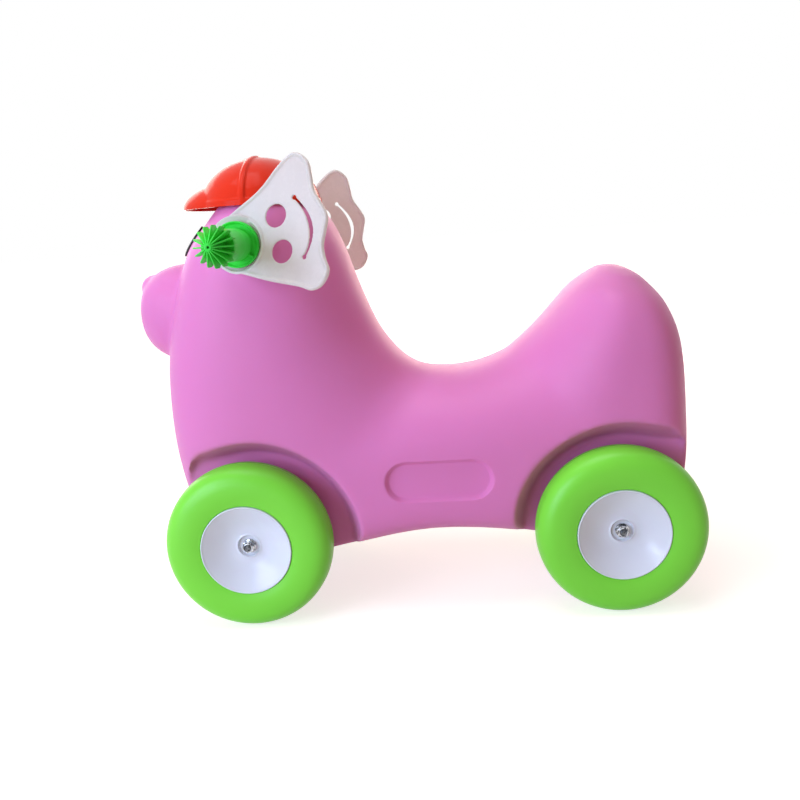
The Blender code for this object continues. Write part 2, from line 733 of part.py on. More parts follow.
def tyre_profile():
    """Tread, shoulders, sidewalls and bore of the tyre, clockwise."""
    half = HALF_TYRE
    rise = WHEEL_RADIUS - TYRE_WIDEST_RADIUS
    seat = clear_bore(RIM_RADIUS, TYRE_STEPS)
    low = half - TYRE_RIM_DROP
    upper = []
    for i in range(SHOULDER_POINTS):
        angle = math.pi / 2 * (i + SHOULDER_START) / (SHOULDER_POINTS - 1 + SHOULDER_START)
        z = half * math.sin(angle) ** (2 / TREAD_POWER)
        radius = TYRE_WIDEST_RADIUS + rise * math.cos(angle) ** (2 / TREAD_POWER)
        upper.append((max(radius, TYRE_WIDEST_RADIUS), z))
    flat = (WHEEL_RADIUS, upper[0][1] * TREAD_FLAT)
    side = [flat, *upper, (seat, low)]
    other = [(radius, -z) for radius, z in reversed(side)]
    return list(reversed(side)) + list(reversed(other))


def make_tyre(name, side, y):
    """A green moulded tyre, with one flat facet down."""
    tyre = turned(name, tyre_profile(), TYRE_STEPS, TYRE_GREEN)
    outboard(tyre, side, WHEEL_MID_X, y, 0)
    tyre.data.transform(Matrix.Rotation(math.pi / TYRE_STEPS, 4, "Z"))
    return tyre


def bowl(first, last, count):
    """Points of a round-bottomed dish between a rim point and a floor point."""
    (r0, z0), (r1, z1) = first, last
    points = []
    for i in range(1, count):
        share = i / count
        fall = math.sin(math.pi / 2 * share)
        points.append((r0 + (r1 - r0) * share, z0 + (z1 - z0) * fall))
    return points


def hub_profile(dish_floor, pocket_floor, bowl_points):
    """Half of a white hub: lip, dish, pocket round the axle, boss and barrel, clockwise."""
    gap = CLEARANCE / 2
    lip = HALF_TYRE - LIP_STEP
    barrel = RIM_RADIUS - HUB_WALL
    bore = clear_bore(BORE_RADIUS + BUSH_WALL, HUB_STEPS)
    boss = POCKET_RADIUS + HUB_WALL
    edge = (barrel, lip)
    floor_edge = (POCKET_RADIUS, dish_floor)
    dish = [edge, *bowl(edge, floor_edge, bowl_points)]
    under = [(radius, z - HUB_DISH_WALL) for radius, z in dish]
    profile = [(bore, pocket_floor), (POCKET_RADIUS - POCKET_TAPER, pocket_floor), floor_edge]
    profile += [*reversed(dish), (RIM_RADIUS, lip), (RIM_RADIUS, gap), (barrel, gap)]
    return profile + [*under, (boss, dish_floor - HUB_DISH_WALL), (boss, gap), (bore, gap)]


def make_wheel(side, y, place):
    """Tyre, two hub halves and the bush that turns on the axle."""
    tag = f"{place}_{'left' if side > 0 else 'right'}"
    make_tyre(f"tyre_{tag}", side, y)
    outer = turned(f"hub_outer_{tag}", hub_profile(DISH_FLOOR, POCKET_FLOOR, 3), HUB_STEPS, HUB_WHITE)
    outboard(outer, side, WHEEL_MID_X, y, 0)
    inner_floor = HALF_TYRE - LIP_STEP - INNER_DISH_DEPTH
    inner_profile = hub_profile(inner_floor, inner_floor - INNER_POCKET_DEPTH, 1)
    inner = turned(f"hub_inner_{tag}", inner_profile, HUB_STEPS, HUB_WHITE)
    outboard(inner, -side, -WHEEL_MID_X, y, 0)
    low = -(HALF_TYRE - LIP_STEP)
    high = POCKET_FLOOR - CLEARANCE
    outside = BORE_RADIUS + BUSH_WALL
    tube = ((BORE_RADIUS, high), (outside, high), (outside, low), (BORE_RADIUS, low))
    bush = turned(f"wheel_bush_{tag}", tube, SMALL_STEPS, NYLON)
    outboard(bush, side, WHEEL_MID_X, y, 0)


def make_axle(name, y, half_length):
    """A steel rod with chamfered ends, right through the body."""
    axle = add_object(name, cylinder_mesh(AXLE_RADIUS, -half_length, half_length), ZINC)
    axle.location = spot(0, y, 0)
    bevel = axle.modifiers.new("chamfer", "BEVEL")
    bevel.width = AXLE_CHAMFER
    bevel.segments = 1
    bevel.limit_method = "ANGLE"
    bevel.angle_limit = math.radians(60)
    smooth(axle)


def make_axle_end(side, y, place):
    """Flanged bush in the body, and the washer and lock nut outside the wheel."""
    tag = f"{place}_{'left' if side > 0 else 'right'}"
    inner_face = WHEEL_MID_X - HALF_TYRE + LIP_STEP
    flange_out = inner_face - CLEARANCE
    flange_in = ARCH_FLOOR_X + CLEARANCE
    profile = (
        (BORE_RADIUS, flange_out),
        (AXLE_BUSH_FLANGE_RADIUS, flange_out),
        (AXLE_BUSH_FLANGE_RADIUS, flange_in),
        (AXLE_BUSH_RADIUS, flange_in),
        (AXLE_BUSH_RADIUS, flange_in - AXLE_BUSH_LENGTH),
        (BORE_RADIUS, flange_in - AXLE_BUSH_LENGTH),
    )
    outboard(turned(f"axle_bush_{tag}", profile, SMALL_STEPS, NYLON), side, 0, y, 0)
    low = WHEEL_MID_X + POCKET_FLOOR + CLEARANCE
    high = low + WASHER_THICKNESS
    ring = ((BORE_RADIUS, high), (WASHER_RADIUS, high), (WASHER_RADIUS, low), (BORE_RADIUS, low))
    outboard(turned(f"washer_{tag}", ring, SMALL_STEPS, ZINC), side, 0, y, 0)
    make_nut(f"axle_nut_{tag}", NUT_FLATS, NUT_HEIGHT, BORE_RADIUS, high + CLEARANCE, side, y, 0)
    return high + CLEARANCE + NUT_HEIGHT


def make_nut(name, flats, height, bore, low, side, y, h):
    """A hexagon nut on an axis along X, its inner face at x = low."""
    radius = flats / 2 / math.cos(math.pi / 6)
    nut = add_object(name, cylinder_mesh(radius, low, low + height, 6), ZINC)
    hole = add_cutter(f"{name}_bore", cylinder_mesh(bore, low - height, low + 2 * height))
    for obj in (nut, hole):
        obj.location = spot(0, y, h)
        if side < 0:
            obj.rotation_euler = (0, 0, math.pi)
    boolean(nut, hole)


def make_running_gear():
    """Both axles with everything on them."""
    for y, place in ((0.0, "front"), (WHEELBASE, "rear")):
        for side in (1, -1):
            make_wheel(side, y, place)
            nut_face = make_axle_end(side, y, place)
        make_axle(f"{place}_axle", y, nut_face + AXLE_PROUD)


# Handlebar and grips


def grip_profile():
    """Flange, barrel and core of a grip, clockwise in (radius, z), solid to its axis."""
    shoulder = GRIP_LENGTH - GRIP_FIN_SLOPE - GRIP_FIN_DEPTH
    return (
        (GRIP_CORE_RADIUS * 0.5, GRIP_LENGTH),
        (GRIP_CORE_RADIUS, GRIP_LENGTH - GRIP_EDGE),
        (GRIP_CORE_RADIUS, shoulder),
        (GRIP_RADIUS - GRIP_EDGE, shoulder),
        (GRIP_RADIUS, shoulder - GRIP_EDGE),
        (GRIP_RADIUS, GRIP_FLANGE_VALLEY),
        (GRIP_FLANGE_RADIUS - GRIP_FLANGE_LIP, GRIP_FLANGE_VALLEY),
        (GRIP_FLANGE_RADIUS - GRIP_FLANGE_LIP * 0.6, GRIP_FLANGE_THICKNESS),
        (GRIP_FLANGE_RADIUS, GRIP_FLANGE_THICKNESS - GRIP_EDGE),
        (GRIP_FLANGE_RADIUS, 0.0),
    )


def blade_mesh(outline, thickness, angle):
    """A flat radial blade: an outline in (radius, z) at an angle about Z."""
    half = thickness / 2
    rings = [[Vector((radius, y, z)) for radius, z in outline] for y in (-half, half)]
    mesh = loft_mesh(rings)
    mesh.transform(Matrix.Rotation(angle, 4, "Z"))
    return mesh


def joined(meshes):
    """Several separate meshes as one."""
    bm = bmesh.new()
    for mesh in meshes:
        bm.from_mesh(mesh)
    whole = bpy.data.meshes.new("joined")
    bm.to_mesh(whole)
    bm.free()
    return whole


def grip_mesh():
    """A hand grip along Z from its flange's back, with a finned end and a dished flange."""
    rings = []
    for radius, z in grip_profile():
        angles = [2 * math.pi * (i + 0.5) / HUB_STEPS for i in range(HUB_STEPS)]
        rings.append([Vector((radius * math.cos(a), radius * math.sin(a), z)) for a in angles])
    grip = add_cutter("grip_form", loft_mesh(rings))
    tip = GRIP_LENGTH - GRIP_FIN_SLOPE
    back = tip - GRIP_FIN_DEPTH - GRIP_FIN_RUN_IN
    fin = (
        (GRIP_CORE_RADIUS - GRIP_ROOT, GRIP_LENGTH - GRIP_EDGE),
        (GRIP_FIN_RADIUS - GRIP_EDGE, tip),
        (GRIP_FIN_RADIUS, tip - GRIP_EDGE),
        (GRIP_FIN_RADIUS, tip - GRIP_FIN_DEPTH),
        (GRIP_RADIUS - GRIP_ROOT, back),
        (GRIP_CORE_RADIUS - GRIP_ROOT, back),
    )
    turns = [2 * math.pi * i / GRIP_FIN_COUNT for i in range(GRIP_FIN_COUNT)]
    fins = add_cutter("grip_fins", joined([blade_mesh(fin, GRIP_FIN_THICKNESS, a) for a in turns]))
    rim = GRIP_FLANGE_RADIUS - GRIP_FLANGE_LIP * 0.5
    gusset = (
        (GRIP_RADIUS - GRIP_ROOT, GRIP_FLANGE_THICKNESS + GRIP_GUSSET_RISE),
        (rim, GRIP_FLANGE_THICKNESS - GRIP_ROOT / 2),
        (rim, GRIP_ROOT),
        (GRIP_RADIUS - GRIP_ROOT, GRIP_ROOT),
    )
    angles = (GRIP_GUSSET_ANGLE, GRIP_GUSSET_ANGLE + math.pi)
    ribs = [blade_mesh(gusset, GRIP_GUSSET_THICKNESS, a) for a in angles]
    gussets = add_cutter("grip_gussets", joined(ribs))
    boolean(grip, fins, "UNION")
    boolean(grip, gussets, "UNION")
    bore_end = BAR_IN_GRIP + GRIP_BORE_SPARE
    bore = add_cutter("grip_bore", cylinder_mesh(BAR_BORE_RADIUS, -GRIP_RADIUS, bore_end, axis="Z"))
    nut_radius = BAR_NUT_FLATS / 2 / math.cos(math.pi / 6) + 2 * CLEARANCE
    pocket_end = BAR_NUT_HEIGHT + CLEARANCE
    pocket = add_cutter("grip_nut_pocket", cylinder_mesh(nut_radius, -GRIP_RADIUS, pocket_end, 6, "Z"))
    low, high = GRIP_LENGTH - GRIP_TIP_HOLE_DEPTH, GRIP_LENGTH + GRIP_RADIUS
    tip_hole = add_cutter("grip_tip_hole", cylinder_mesh(GRIP_TIP_HOLE_RADIUS, low, high, SCREW_STEPS, "Z"))
    for cutter in (bore, pocket, tip_hole):
        boolean(grip, cutter)
    return finished_mesh(grip)


def make_handlebar():
    """The steel bar through the head, its two captive nuts and the two grips."""
    seat = EAR_SEAT_X + CLEARANCE
    bar = add_object("handlebar", cylinder_mesh(BAR_RADIUS, -seat - BAR_IN_GRIP, seat + BAR_IN_GRIP), ZINC)
    bar.location = spot(0, HANDLE_Y, HANDLE_H)
    smooth(bar)
    mesh = grip_mesh()
    mesh.transform(Matrix.Rotation(math.pi / 2, 4, "Y"))
    for side, word in ((1, "left"), (-1, "right")):
        grip = add_object(f"grip_{word}", mesh.copy() if side > 0 else mirrored(mesh), GRIP_GREEN)
        grip.location = spot(side * seat, HANDLE_Y, HANDLE_H)
        smooth(grip)
        make_nut(
            f"grip_nut_{word}", BAR_NUT_FLATS, BAR_NUT_HEIGHT - CLEARANCE, BAR_BORE_RADIUS,
            seat + CLEARANCE, side, HANDLE_Y, HANDLE_H,
        )


# Ears


def flat_curve(name, outlines, thickness):
    """A plate from closed outlines in its own XY plane; later outlines are its holes."""
    data = bpy.data.curves.new(name, "CURVE")
    data.dimensions = "2D"
    data.fill_mode = "BOTH"
    data.extrude = thickness / 2
    data.resolution_u = 2
    for points, rounded in outlines:
        spline = data.splines.new("BEZIER" if rounded else "POLY")
        if rounded:
            spline.bezier_points.add(len(points) - 1)
            for point, (u, v) in zip(spline.bezier_points, points):
                point.co = (u, v, 0)
                point.handle_left_type = "AUTO"
                point.handle_right_type = "AUTO"
        else:
            spline.points.add(len(points) - 1)
            for point, (u, v) in zip(spline.points, points):
                point.co = (u, v, 0, 1)
        spline.use_cyclic_u = True
    obj = bpy.data.objects.new(name, data)
    CUTTERS.objects.link(obj)
    return finished_mesh(obj)


def inset(points, distance):
    """A closed outline, clockwise, moved inward."""
    found = []
    count = len(points)
    for i, point in enumerate(points):
        before, after = Vector(points[i - 1]), Vector(points[(i + 1) % count])
        along = (after - before).normalized()
        inward = Vector((along.y, -along.x))
        found.append(tuple(Vector(point) + inward * distance))
    return found


def circle(centre, radius, steps=14):
    """Points of a circle."""
    turns = [2 * math.pi * i / steps for i in range(steps)]
    return [(centre[0] + radius * math.cos(a), centre[1] + radius * math.sin(a)) for a in turns]


def round_end(centre, outward):
    """Points round the far side of the hole at a slot's end, clockwise."""
    middle = math.atan2(outward.y, outward.x)
    turns = [middle + math.radians(angle) for angle in (120, 60, 0, -60, -120)]
    return [tuple(centre + Vector((math.cos(a), math.sin(a))) * SMILE_END_RADIUS) for a in turns]


def smile_outline(steps=8):
    """A thin crescent slot with a round hole at each end."""
    start, middle, end = (Vector(p) for p in SMILE)
    bend = middle * 2 - (start + end) / 2
    upper, lower = [], []
    for i in range(1, steps):
        t = i / steps
        place = start.lerp(bend, t).lerp(bend.lerp(end, t), t)
        along = (bend - start).lerp(end - bend, t).normalized()
        across = Vector((-along.y, along.x)) * SMILE_HALF_WIDTH * math.sin(math.pi * t)
        upper.append(tuple(place + across))
        lower.append(tuple(place - across))
    return [*round_end(start, start - bend), *upper, *round_end(end, end - bend), *reversed(lower)]


def ear_frame():
    """The left ear blade's place: local X back along it, local Y up it, local Z outward."""
    back = Vector((math.sin(EAR_FLARE), math.cos(EAR_FLARE), 0))
    out = Vector((math.cos(EAR_FLARE), -math.sin(EAR_FLARE), 0))
    up = Vector((0, 0, math.cos(EAR_LEAN))) - out * math.sin(EAR_LEAN)
    normal = back.cross(up)
    frame = Matrix((back, up, normal)).transposed().to_4x4()
    return Matrix.Translation(spot(EAR_SEAT_X - EAR_SINK, HANDLE_Y, HANDLE_H)) @ frame


def ear_mesh():
    """The left ear: a rimmed blade with two holes and a smile, on a hollow cup-shaped boss."""
    holes = [(circle(hole, EAR_HOLE_RADIUS), False) for hole in EAR_HOLES]
    edge = inset(EAR_OUTLINE, EAR_RIM_WIDTH / 2)
    web = flat_curve("ear_web", [(edge, True), *holes, (smile_outline(), False)], EAR_WEB)
    rim = flat_curve(
        "ear_rim", [(EAR_OUTLINE, True), (inset(EAR_OUTLINE, EAR_RIM_WIDTH), True)], EAR_RIM_THICKNESS
    )
    frame = ear_frame()
    ear = add_cutter("ear_form", web)
    ear.matrix_world = frame
    rim_form = add_cutter("ear_rim_form", rim)
    rim_form.matrix_world = frame
    boss_back = HEAD_PAD_X + CLEARANCE
    boss_front = EAR_SEAT_X + EAR_BOSS_RUNOUT
    boss = add_cutter("ear_boss", cylinder_mesh(EAR_BOSS_RADIUS, boss_back, boss_front, HUB_STEPS))
    over = add_cutter("ear_over", box_mesh((-LONG, -LONG, EAR_WEB / 2 + EAR_SINK), (LONG, LONG, LONG)))
    over.matrix_world = frame
    low_corner = (EAR_SEAT_X - EAR_SINK, -LONG, -LONG)
    outward = add_cutter("ear_outward", box_mesh(low_corner, (LONG, LONG, LONG)))
    boolean(over, outward, "INTERSECT")
    boss_inside = EAR_BOSS_RADIUS - EAR_BOSS_WALL
    cup = add_cutter("ear_cup", cylinder_mesh(boss_inside, EAR_SEAT_X, boss_front, HUB_STEPS))
    hollow = add_cutter("ear_hollow", cylinder_mesh(boss_inside, 0.0, EAR_SEAT_X - EAR_FLOOR, HUB_STEPS))
    bore = add_cutter("ear_bore", cylinder_mesh(BAR_BORE_RADIUS, 0.0, boss_front))
    for obj in (boss, cup, hollow, bore):
        obj.location = spot(0, HANDLE_Y, HANDLE_H)
    boolean(boss, over)
    boolean(ear, rim_form, "UNION")
    boolean(ear, boss, "UNION")
    for cutter in (cup, hollow, bore):
        boolean(ear, cutter)
    return finished_mesh(ear)


def make_ears():
    """Both ears."""
    mesh = ear_mesh()
    for side, word in ((1, "left"), (-1, "right")):
        ear = add_object(f"ear_{word}", mesh.copy() if side > 0 else mirrored(mesh), EAR_WHITE)
        smooth(ear, math.radians(30))


def main():
    """Builds the toy."""
    make_body()
    make_eyes()
    make_cap()
    make_running_gear()
    make_handlebar()
    make_ears()


main()
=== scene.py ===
"""Looks of a ride-on dog toy: a moulded pink body on four wheels, with cap, ears and hand grips.

Metres, +Z up. The toy faces -Y and its left side is +X. Sizes are taken from the front axle: y runs
back from it and h runs up from the axles' height, and spot() turns them into a place in the frame.
Every finished piece has its object at the origin and its place in its mesh.
"""

import json
import logging
import math
from collections.abc import Iterator, Sequence
from contextlib import contextmanager
from dataclasses import dataclass
from enum import Enum

import bpy
from mathutils import Matrix, Vector

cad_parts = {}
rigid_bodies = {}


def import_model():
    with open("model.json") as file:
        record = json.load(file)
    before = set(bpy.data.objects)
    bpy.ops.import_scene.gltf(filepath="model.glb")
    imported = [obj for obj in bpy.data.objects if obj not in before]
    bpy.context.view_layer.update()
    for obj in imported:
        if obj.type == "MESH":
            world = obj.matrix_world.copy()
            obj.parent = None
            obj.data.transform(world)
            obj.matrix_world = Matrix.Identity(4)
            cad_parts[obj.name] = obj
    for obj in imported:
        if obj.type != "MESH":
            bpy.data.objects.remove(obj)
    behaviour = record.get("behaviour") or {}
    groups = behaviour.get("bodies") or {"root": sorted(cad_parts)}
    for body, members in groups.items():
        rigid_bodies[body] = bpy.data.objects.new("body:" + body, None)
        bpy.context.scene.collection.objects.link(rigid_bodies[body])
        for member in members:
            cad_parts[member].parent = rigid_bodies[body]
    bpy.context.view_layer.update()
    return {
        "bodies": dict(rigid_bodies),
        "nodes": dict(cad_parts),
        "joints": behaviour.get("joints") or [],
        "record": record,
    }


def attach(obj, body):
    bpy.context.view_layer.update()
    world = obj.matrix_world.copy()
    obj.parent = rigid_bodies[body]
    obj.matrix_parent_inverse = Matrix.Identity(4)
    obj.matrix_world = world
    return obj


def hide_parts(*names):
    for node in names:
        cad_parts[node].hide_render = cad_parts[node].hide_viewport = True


LOG = logging.getLogger("ride_on_dog")
CLEARANCE = 0.0003
HEAD_H = 0.430
AXLE_Z = 0.100 * math.cos(math.pi / 28)
WHEELBASE = 0.4375
FRONT_OVERHANG = 0.139
FRONT_AXLE_Y = (FRONT_OVERHANG - WHEELBASE - AXLE_Z) / 2
CHASSIS = "chassis"
FAR = 1.0
MM_PER_M = 1000.0

# What several pieces share: a place in the side view as (y, h), radii, and stations along X
HANDLE_AT = (0.028, HEAD_H - 0.081)
BAR_RADIUS = 0.0055
AXLE_RADIUS = 0.004
ARCH_FLOOR_X = 0.092
EAR_SEAT_X = 0.152
WHEEL_X = 0.1265
WHEEL_WIDTH = 0.055

Point = tuple[float, float]
Triple = tuple[float, float, float]
Points = Sequence[Point]
Piece = bpy.types.Object
Socket = bpy.types.NodeSocket
MIRROR = Matrix.Scale(-1, 4, (1, 0, 0))


class Side(Enum):
    """The toy's own left and right, as the sign of X."""

    LEFT = 1
    RIGHT = -1

    @property
    def word(self) -> str:
        """The side's name in piece names."""
        return self.name.lower()


class End(Enum):
    """The front and the rear axle, as the distance back from the front one."""

    FRONT = 0.0
    REAR = WHEELBASE

    @property
    def word(self) -> str:
        """The end's name in piece names."""
        return self.name.lower()


def spot(x: float, y: float, h: float) -> Vector:
    """Place in the frame of a point given from the front axle.

    Args:
        x: Distance to the toy's left.
        y: Distance back from the front axle.
        h: Height above the axles.

    Returns:
        The point in the frame.
    """
    return Vector((x, FRONT_AXLE_Y + y, AXLE_Z + h))


# Work at the bench


def clear_selection() -> None:
    """Deselects everything in object mode, so that the next primitive stands alone."""
    if bpy.context.mode != "OBJECT":
        bpy.ops.object.mode_set(mode="OBJECT")
    bpy.ops.object.select_all(action="DESELECT")


def take(piece: Piece) -> Piece:
    """Makes a piece the only selected and the active one."""
    clear_selection()
    piece.select_set(True)
    bpy.context.view_layer.objects.active = piece
    return piece


@contextmanager
def editing(piece: Piece) -> Iterator[None]:
    """Edit mode with all of a piece selected, and back to object mode after it."""
    take(piece)
    bpy.ops.object.mode_set(mode="EDIT")
    bpy.ops.mesh.select_all(action="SELECT")
    yield
    bpy.ops.object.mode_set(mode="OBJECT")


def fresh(name: str) -> Piece:
    """Names the primitive that was just added, and settles its place into its mesh."""
    piece = bpy.context.active_object
    take(piece)
    bpy.ops.object.transform_apply(location=True, rotation=True, scale=True)
    piece.name = name
    piece.data.name = name
    return piece


def face_outward(piece: Piece, merge: float = 1e-6) -> Piece:
    """Merges doubled points and turns every face outward."""
    with editing(piece):
        bpy.ops.mesh.remove_doubles(threshold=merge)
        bpy.ops.mesh.normals_make_consistent(inside=False)
    return piece


def modify(piece: Piece, kind: str, **settings: object) -> Piece:
    """Adds a modifier with its settings and applies it.

    Args:
        piece: The piece to work on.
        kind: Blender's name of the modifier.
        settings: Its properties.

    Returns:
        The same piece.
    """
    take(piece)
    modifier = piece.modifiers.new(kind.title(), kind)
    for key, value in settings.items():
        setattr(modifier, key, value)
    bpy.ops.object.modifier_apply(modifier=modifier.name)
    return piece


def combine(piece: Piece, other: Piece, operation: str = "UNION") -> Piece:
    """Joins, cuts or intersects a piece with another one, which is used up."""
    modify(piece, "BOOLEAN", operation=operation, solver="EXACT", object=other)
    bpy.data.objects.remove(other)
    return piece


def carve(piece: Piece, *cutters: Piece) -> Piece:
    """Cuts several pieces out of one."""
    for cutter in cutters:
        combine(piece, cutter, "DIFFERENCE")
    return piece


def soften(piece: Piece, voxel: float, rounds: int) -> Piece:
    """Rounds every edge and corner, as a mould does, by an even new mesh that is then relaxed.

    Args:
        piece: A closed piece.
        voxel: Length of the new mesh's edges.
        rounds: How many times the new mesh is relaxed.

    Returns:
        The same piece, shaded smooth.
    """
    modify(piece, "REMESH", mode="VOXEL", voxel_size=voxel, use_smooth_shade=True)
    return modify(piece, "SMOOTH", factor=0.5, iterations=rounds)


def shade(piece: Piece, degrees: float = 35.0) -> Piece:
    """Shades a piece smooth, apart from its sharp edges."""
    take(piece)
    bpy.ops.object.shade_smooth_by_angle(angle=math.radians(degrees))
    return piece


def duplicate(piece: Piece, name: str, place: Matrix | None = None) -> Piece:
    """A copy of a piece with its own mesh, moved, turned or mirrored.

    Args:
        piece: The pattern.
        name: The copy's name.
        place: Where it goes, or None to leave it where the pattern is.

    Returns:
        The copy.
    """
    take(piece)
    bpy.ops.object.duplicate(linked=False)
    copy = bpy.context.active_object
    copy.name = name
    copy.data.name = name
    if place is not None:
        copy.data.transform(place)
        if place.determinant() < 0:
            copy.data.flip_normals()
    return copy


def put(piece: Piece, x: float, y: float, h: float) -> Piece:
    """Moves a piece's mesh from the origin to a place given from the front axle."""
    piece.data.transform(Matrix.Translation(spot(x, y, h)))
    return piece


def by_speed(full: float) -> float:
    return full


def rod(name: str, radius: float, low: float, high: float, steps: int, axis: str = "X") -> Piece:
    """A plain cylinder to cut with or to shape further.

    Args:
        name: The piece's name.
        radius: Its radius.
        low: Where it starts on its axis.
        high: Where it ends.
        steps: Facets round it.
        axis: X or Z.

    Returns:
        The cylinder.
    """
    turn = {"X": (0, math.pi / 2, 0), "Z": (0, 0, 0)}[axis]
    middle = (low + high) / 2
    place = {"X": (middle, 0, 0), "Z": (0, 0, middle)}[axis]
    clear_selection()
    bpy.ops.mesh.primitive_cylinder_add(
        vertices=steps, radius=radius, depth=high - low, location=place, rotation=turn
    )
    return fresh(name)


def block(name: str, low: Sequence[float], high: Sequence[float]) -> Piece:
    """A box between two corners, to cut with."""
    middle = [(a + b) / 2 for a, b in zip(low, high)]
    size = [b - a for a, b in zip(low, high)]
    clear_selection()
    bpy.ops.mesh.primitive_cube_add(size=1.0, location=middle, scale=size)
    return fresh(name)


def ball(name: str, semi_axes: Sequence[float], segments: int, power: float = 2.0) -> Piece:
    """An ellipsoid about the origin, to be joined or cut.

    Args:
        name: The piece's name.
        semi_axes: Half its length, width and height.
        segments: Facets round it.
        power: 2 for an ellipsoid, and more for a squarer form.

    Returns:
        The form.
    """
    clear_selection()
    bpy.ops.mesh.primitive_uv_sphere_add(segments=segments, ring_count=segments // 2, radius=1.0)
    piece = fresh(name)
    for vert in piece.data.vertices:
        size = sum(abs(value) ** power for value in vert.co) ** (1 / power)
        vert.co = [value / size * half for value, half in zip(vert.co, semi_axes)]
    return piece


def turned(name: str, profile: Points, steps: int) -> Piece:
    """A turned piece: a closed profile spun round Z.

    Args:
        name: The piece's name.
        profile: Its (radius, z) points in order.
        steps: Facets round the axis.

    Returns:
        The piece, closed and facing outward.
    """
    clear_selection()
    bpy.ops.mesh.primitive_circle_add(vertices=len(profile), radius=1.0)
    piece = fresh(name)
    for vert, (radius, z) in zip(piece.data.vertices, profile):
        vert.co = (radius, 0.0, z)
    with editing(piece):
        bpy.ops.mesh.spin(steps=steps, angle=2 * math.pi, center=(0, 0, 0), axis=(0, 0, 1))
    return shade(face_outward(piece))


def plate(name: str, outline: Points, low: float, high: float) -> Piece:
    """A flat plate cut to an outline.

    Args:
        name: The piece's name.
        outline: The outline in XY.
        low: Where its underside lies on Z.
        high: Where its top lies.

    Returns:
        The plate.
    """
    clear_selection()
    bpy.ops.mesh.primitive_circle_add(vertices=len(outline), radius=1.0, fill_type="NGON")
    piece = fresh(name)
    for vert, (x, y) in zip(piece.data.vertices, outline):
        vert.co = (x, y, low)
    with editing(piece):
        bpy.ops.mesh.extrude_region_move(TRANSFORM_OT_translate={"value": (0, 0, high - low)})
    return face_outward(piece)


def bead(name: str, outline: Points, half_width: float, half_height: float, sides: int = 12) -> Piece:
    """A round bead that runs along a closed outline, as on the rim of a moulded blade.

    Args:
        name: The piece's name.
        outline: The outline in XY.
        half_width: Half its width across the outline.
        half_height: Half its height along Z.
        sides: Facets round its section.

    Returns:
        The closed bead.
    """
    clear_selection()
    bpy.ops.mesh.primitive_torus_add(major_segments=len(outline), minor_segments=sides)
    piece = fresh(name)
    count = len(outline)
    for index, vert in enumerate(piece.data.vertices):
        along, around = divmod(index, sides)
        before, after = Vector(outline[along - 1]), Vector(outline[(along + 1) % count])
        across = (after - before).normalized().orthogonal()
        angle = 2 * math.pi * around / sides
        place = Vector(outline[along]) + across * half_width * math.cos(angle)
        vert.co = (place.x, place.y, half_height * math.sin(angle))
    return face_outward(piece)


def lofted(name: str, rings: Sequence[Sequence[Vector]]) -> Piece:
    """A closed form through rings of equally many points: a sphere whose rings are pulled onto them.

    Args:
        name: The piece's name.
        rings: The rings in order. The first and the last hold one point each.

    Returns:
        The piece, closed and facing outward.
    """
    around, last = len(rings[1]), len(rings) - 1
    clear_selection()
    bpy.ops.mesh.primitive_uv_sphere_add(segments=around, ring_count=last, radius=1.0)
    piece = fresh(name)
    for vert in piece.data.vertices:
        row = round(math.acos(max(-1.0, min(1.0, vert.co.z))) / math.pi * last)
        column = round(math.atan2(vert.co.y, vert.co.x) / (2 * math.pi) * around)
        ring = rings[row]
        vert.co = ring[column % len(ring)]
    return face_outward(piece)


def curved(points: Points, steps: int) -> list[Point]:
    """A closed smooth line through points.

    Args:
        points: The points that it passes through.
        steps: How many points each gap is cut into.

    Returns:
        The line's points.
    """
    count = len(points)
    found = []
    for i in range(count):
        a, b, c, d = (Vector(points[(i + k) % count]) for k in (-1, 0, 1, 2))
        for step in range(steps):
            t = step / steps
            place = 0.5 * (
                2 * b + (c - a) * t + (2 * a - 5 * b + 4 * c - d) * t**2 + (3 * b - a - 3 * c + d) * t**3
            )
            found.append((place.x, place.y))
    return found


def inset(points: Points, distance: float) -> list[Point]:
    """A closed clockwise outline moved inward."""
    found = []
    for i, point in enumerate(points):
        along = (Vector(points[(i + 1) % len(points)]) - Vector(points[i - 1])).normalized()
        found.append(tuple(Vector(point) + Vector((along.y, -along.x)) * distance))
    return found


def outboard(side: Side, x: float, y: float, h: float) -> Matrix:
    """Where a turned piece goes so that its own Z points away from the toy's middle."""
    turn = Matrix.Rotation(math.pi / 2, 4, "Y")
    if side is Side.RIGHT:
        turn = Matrix.Rotation(math.pi, 4, "Z") @ turn
    return Matrix.Translation(spot(side.value * x, y, h)) @ turn


# Finishes


def linear(code: str) -> tuple[float, float, float, float]:
    """A linear colour from an sRGB hex code such as #D47AC0."""
    parts = [int(code[i : i + 2], 16) / 255 for i in (1, 3, 5)]
    red, green, blue = (p / 12.92 if p <= 0.04045 else ((p + 0.055) / 1.055) ** 2.4 for p in parts)
    return (red, green, blue, 1.0)


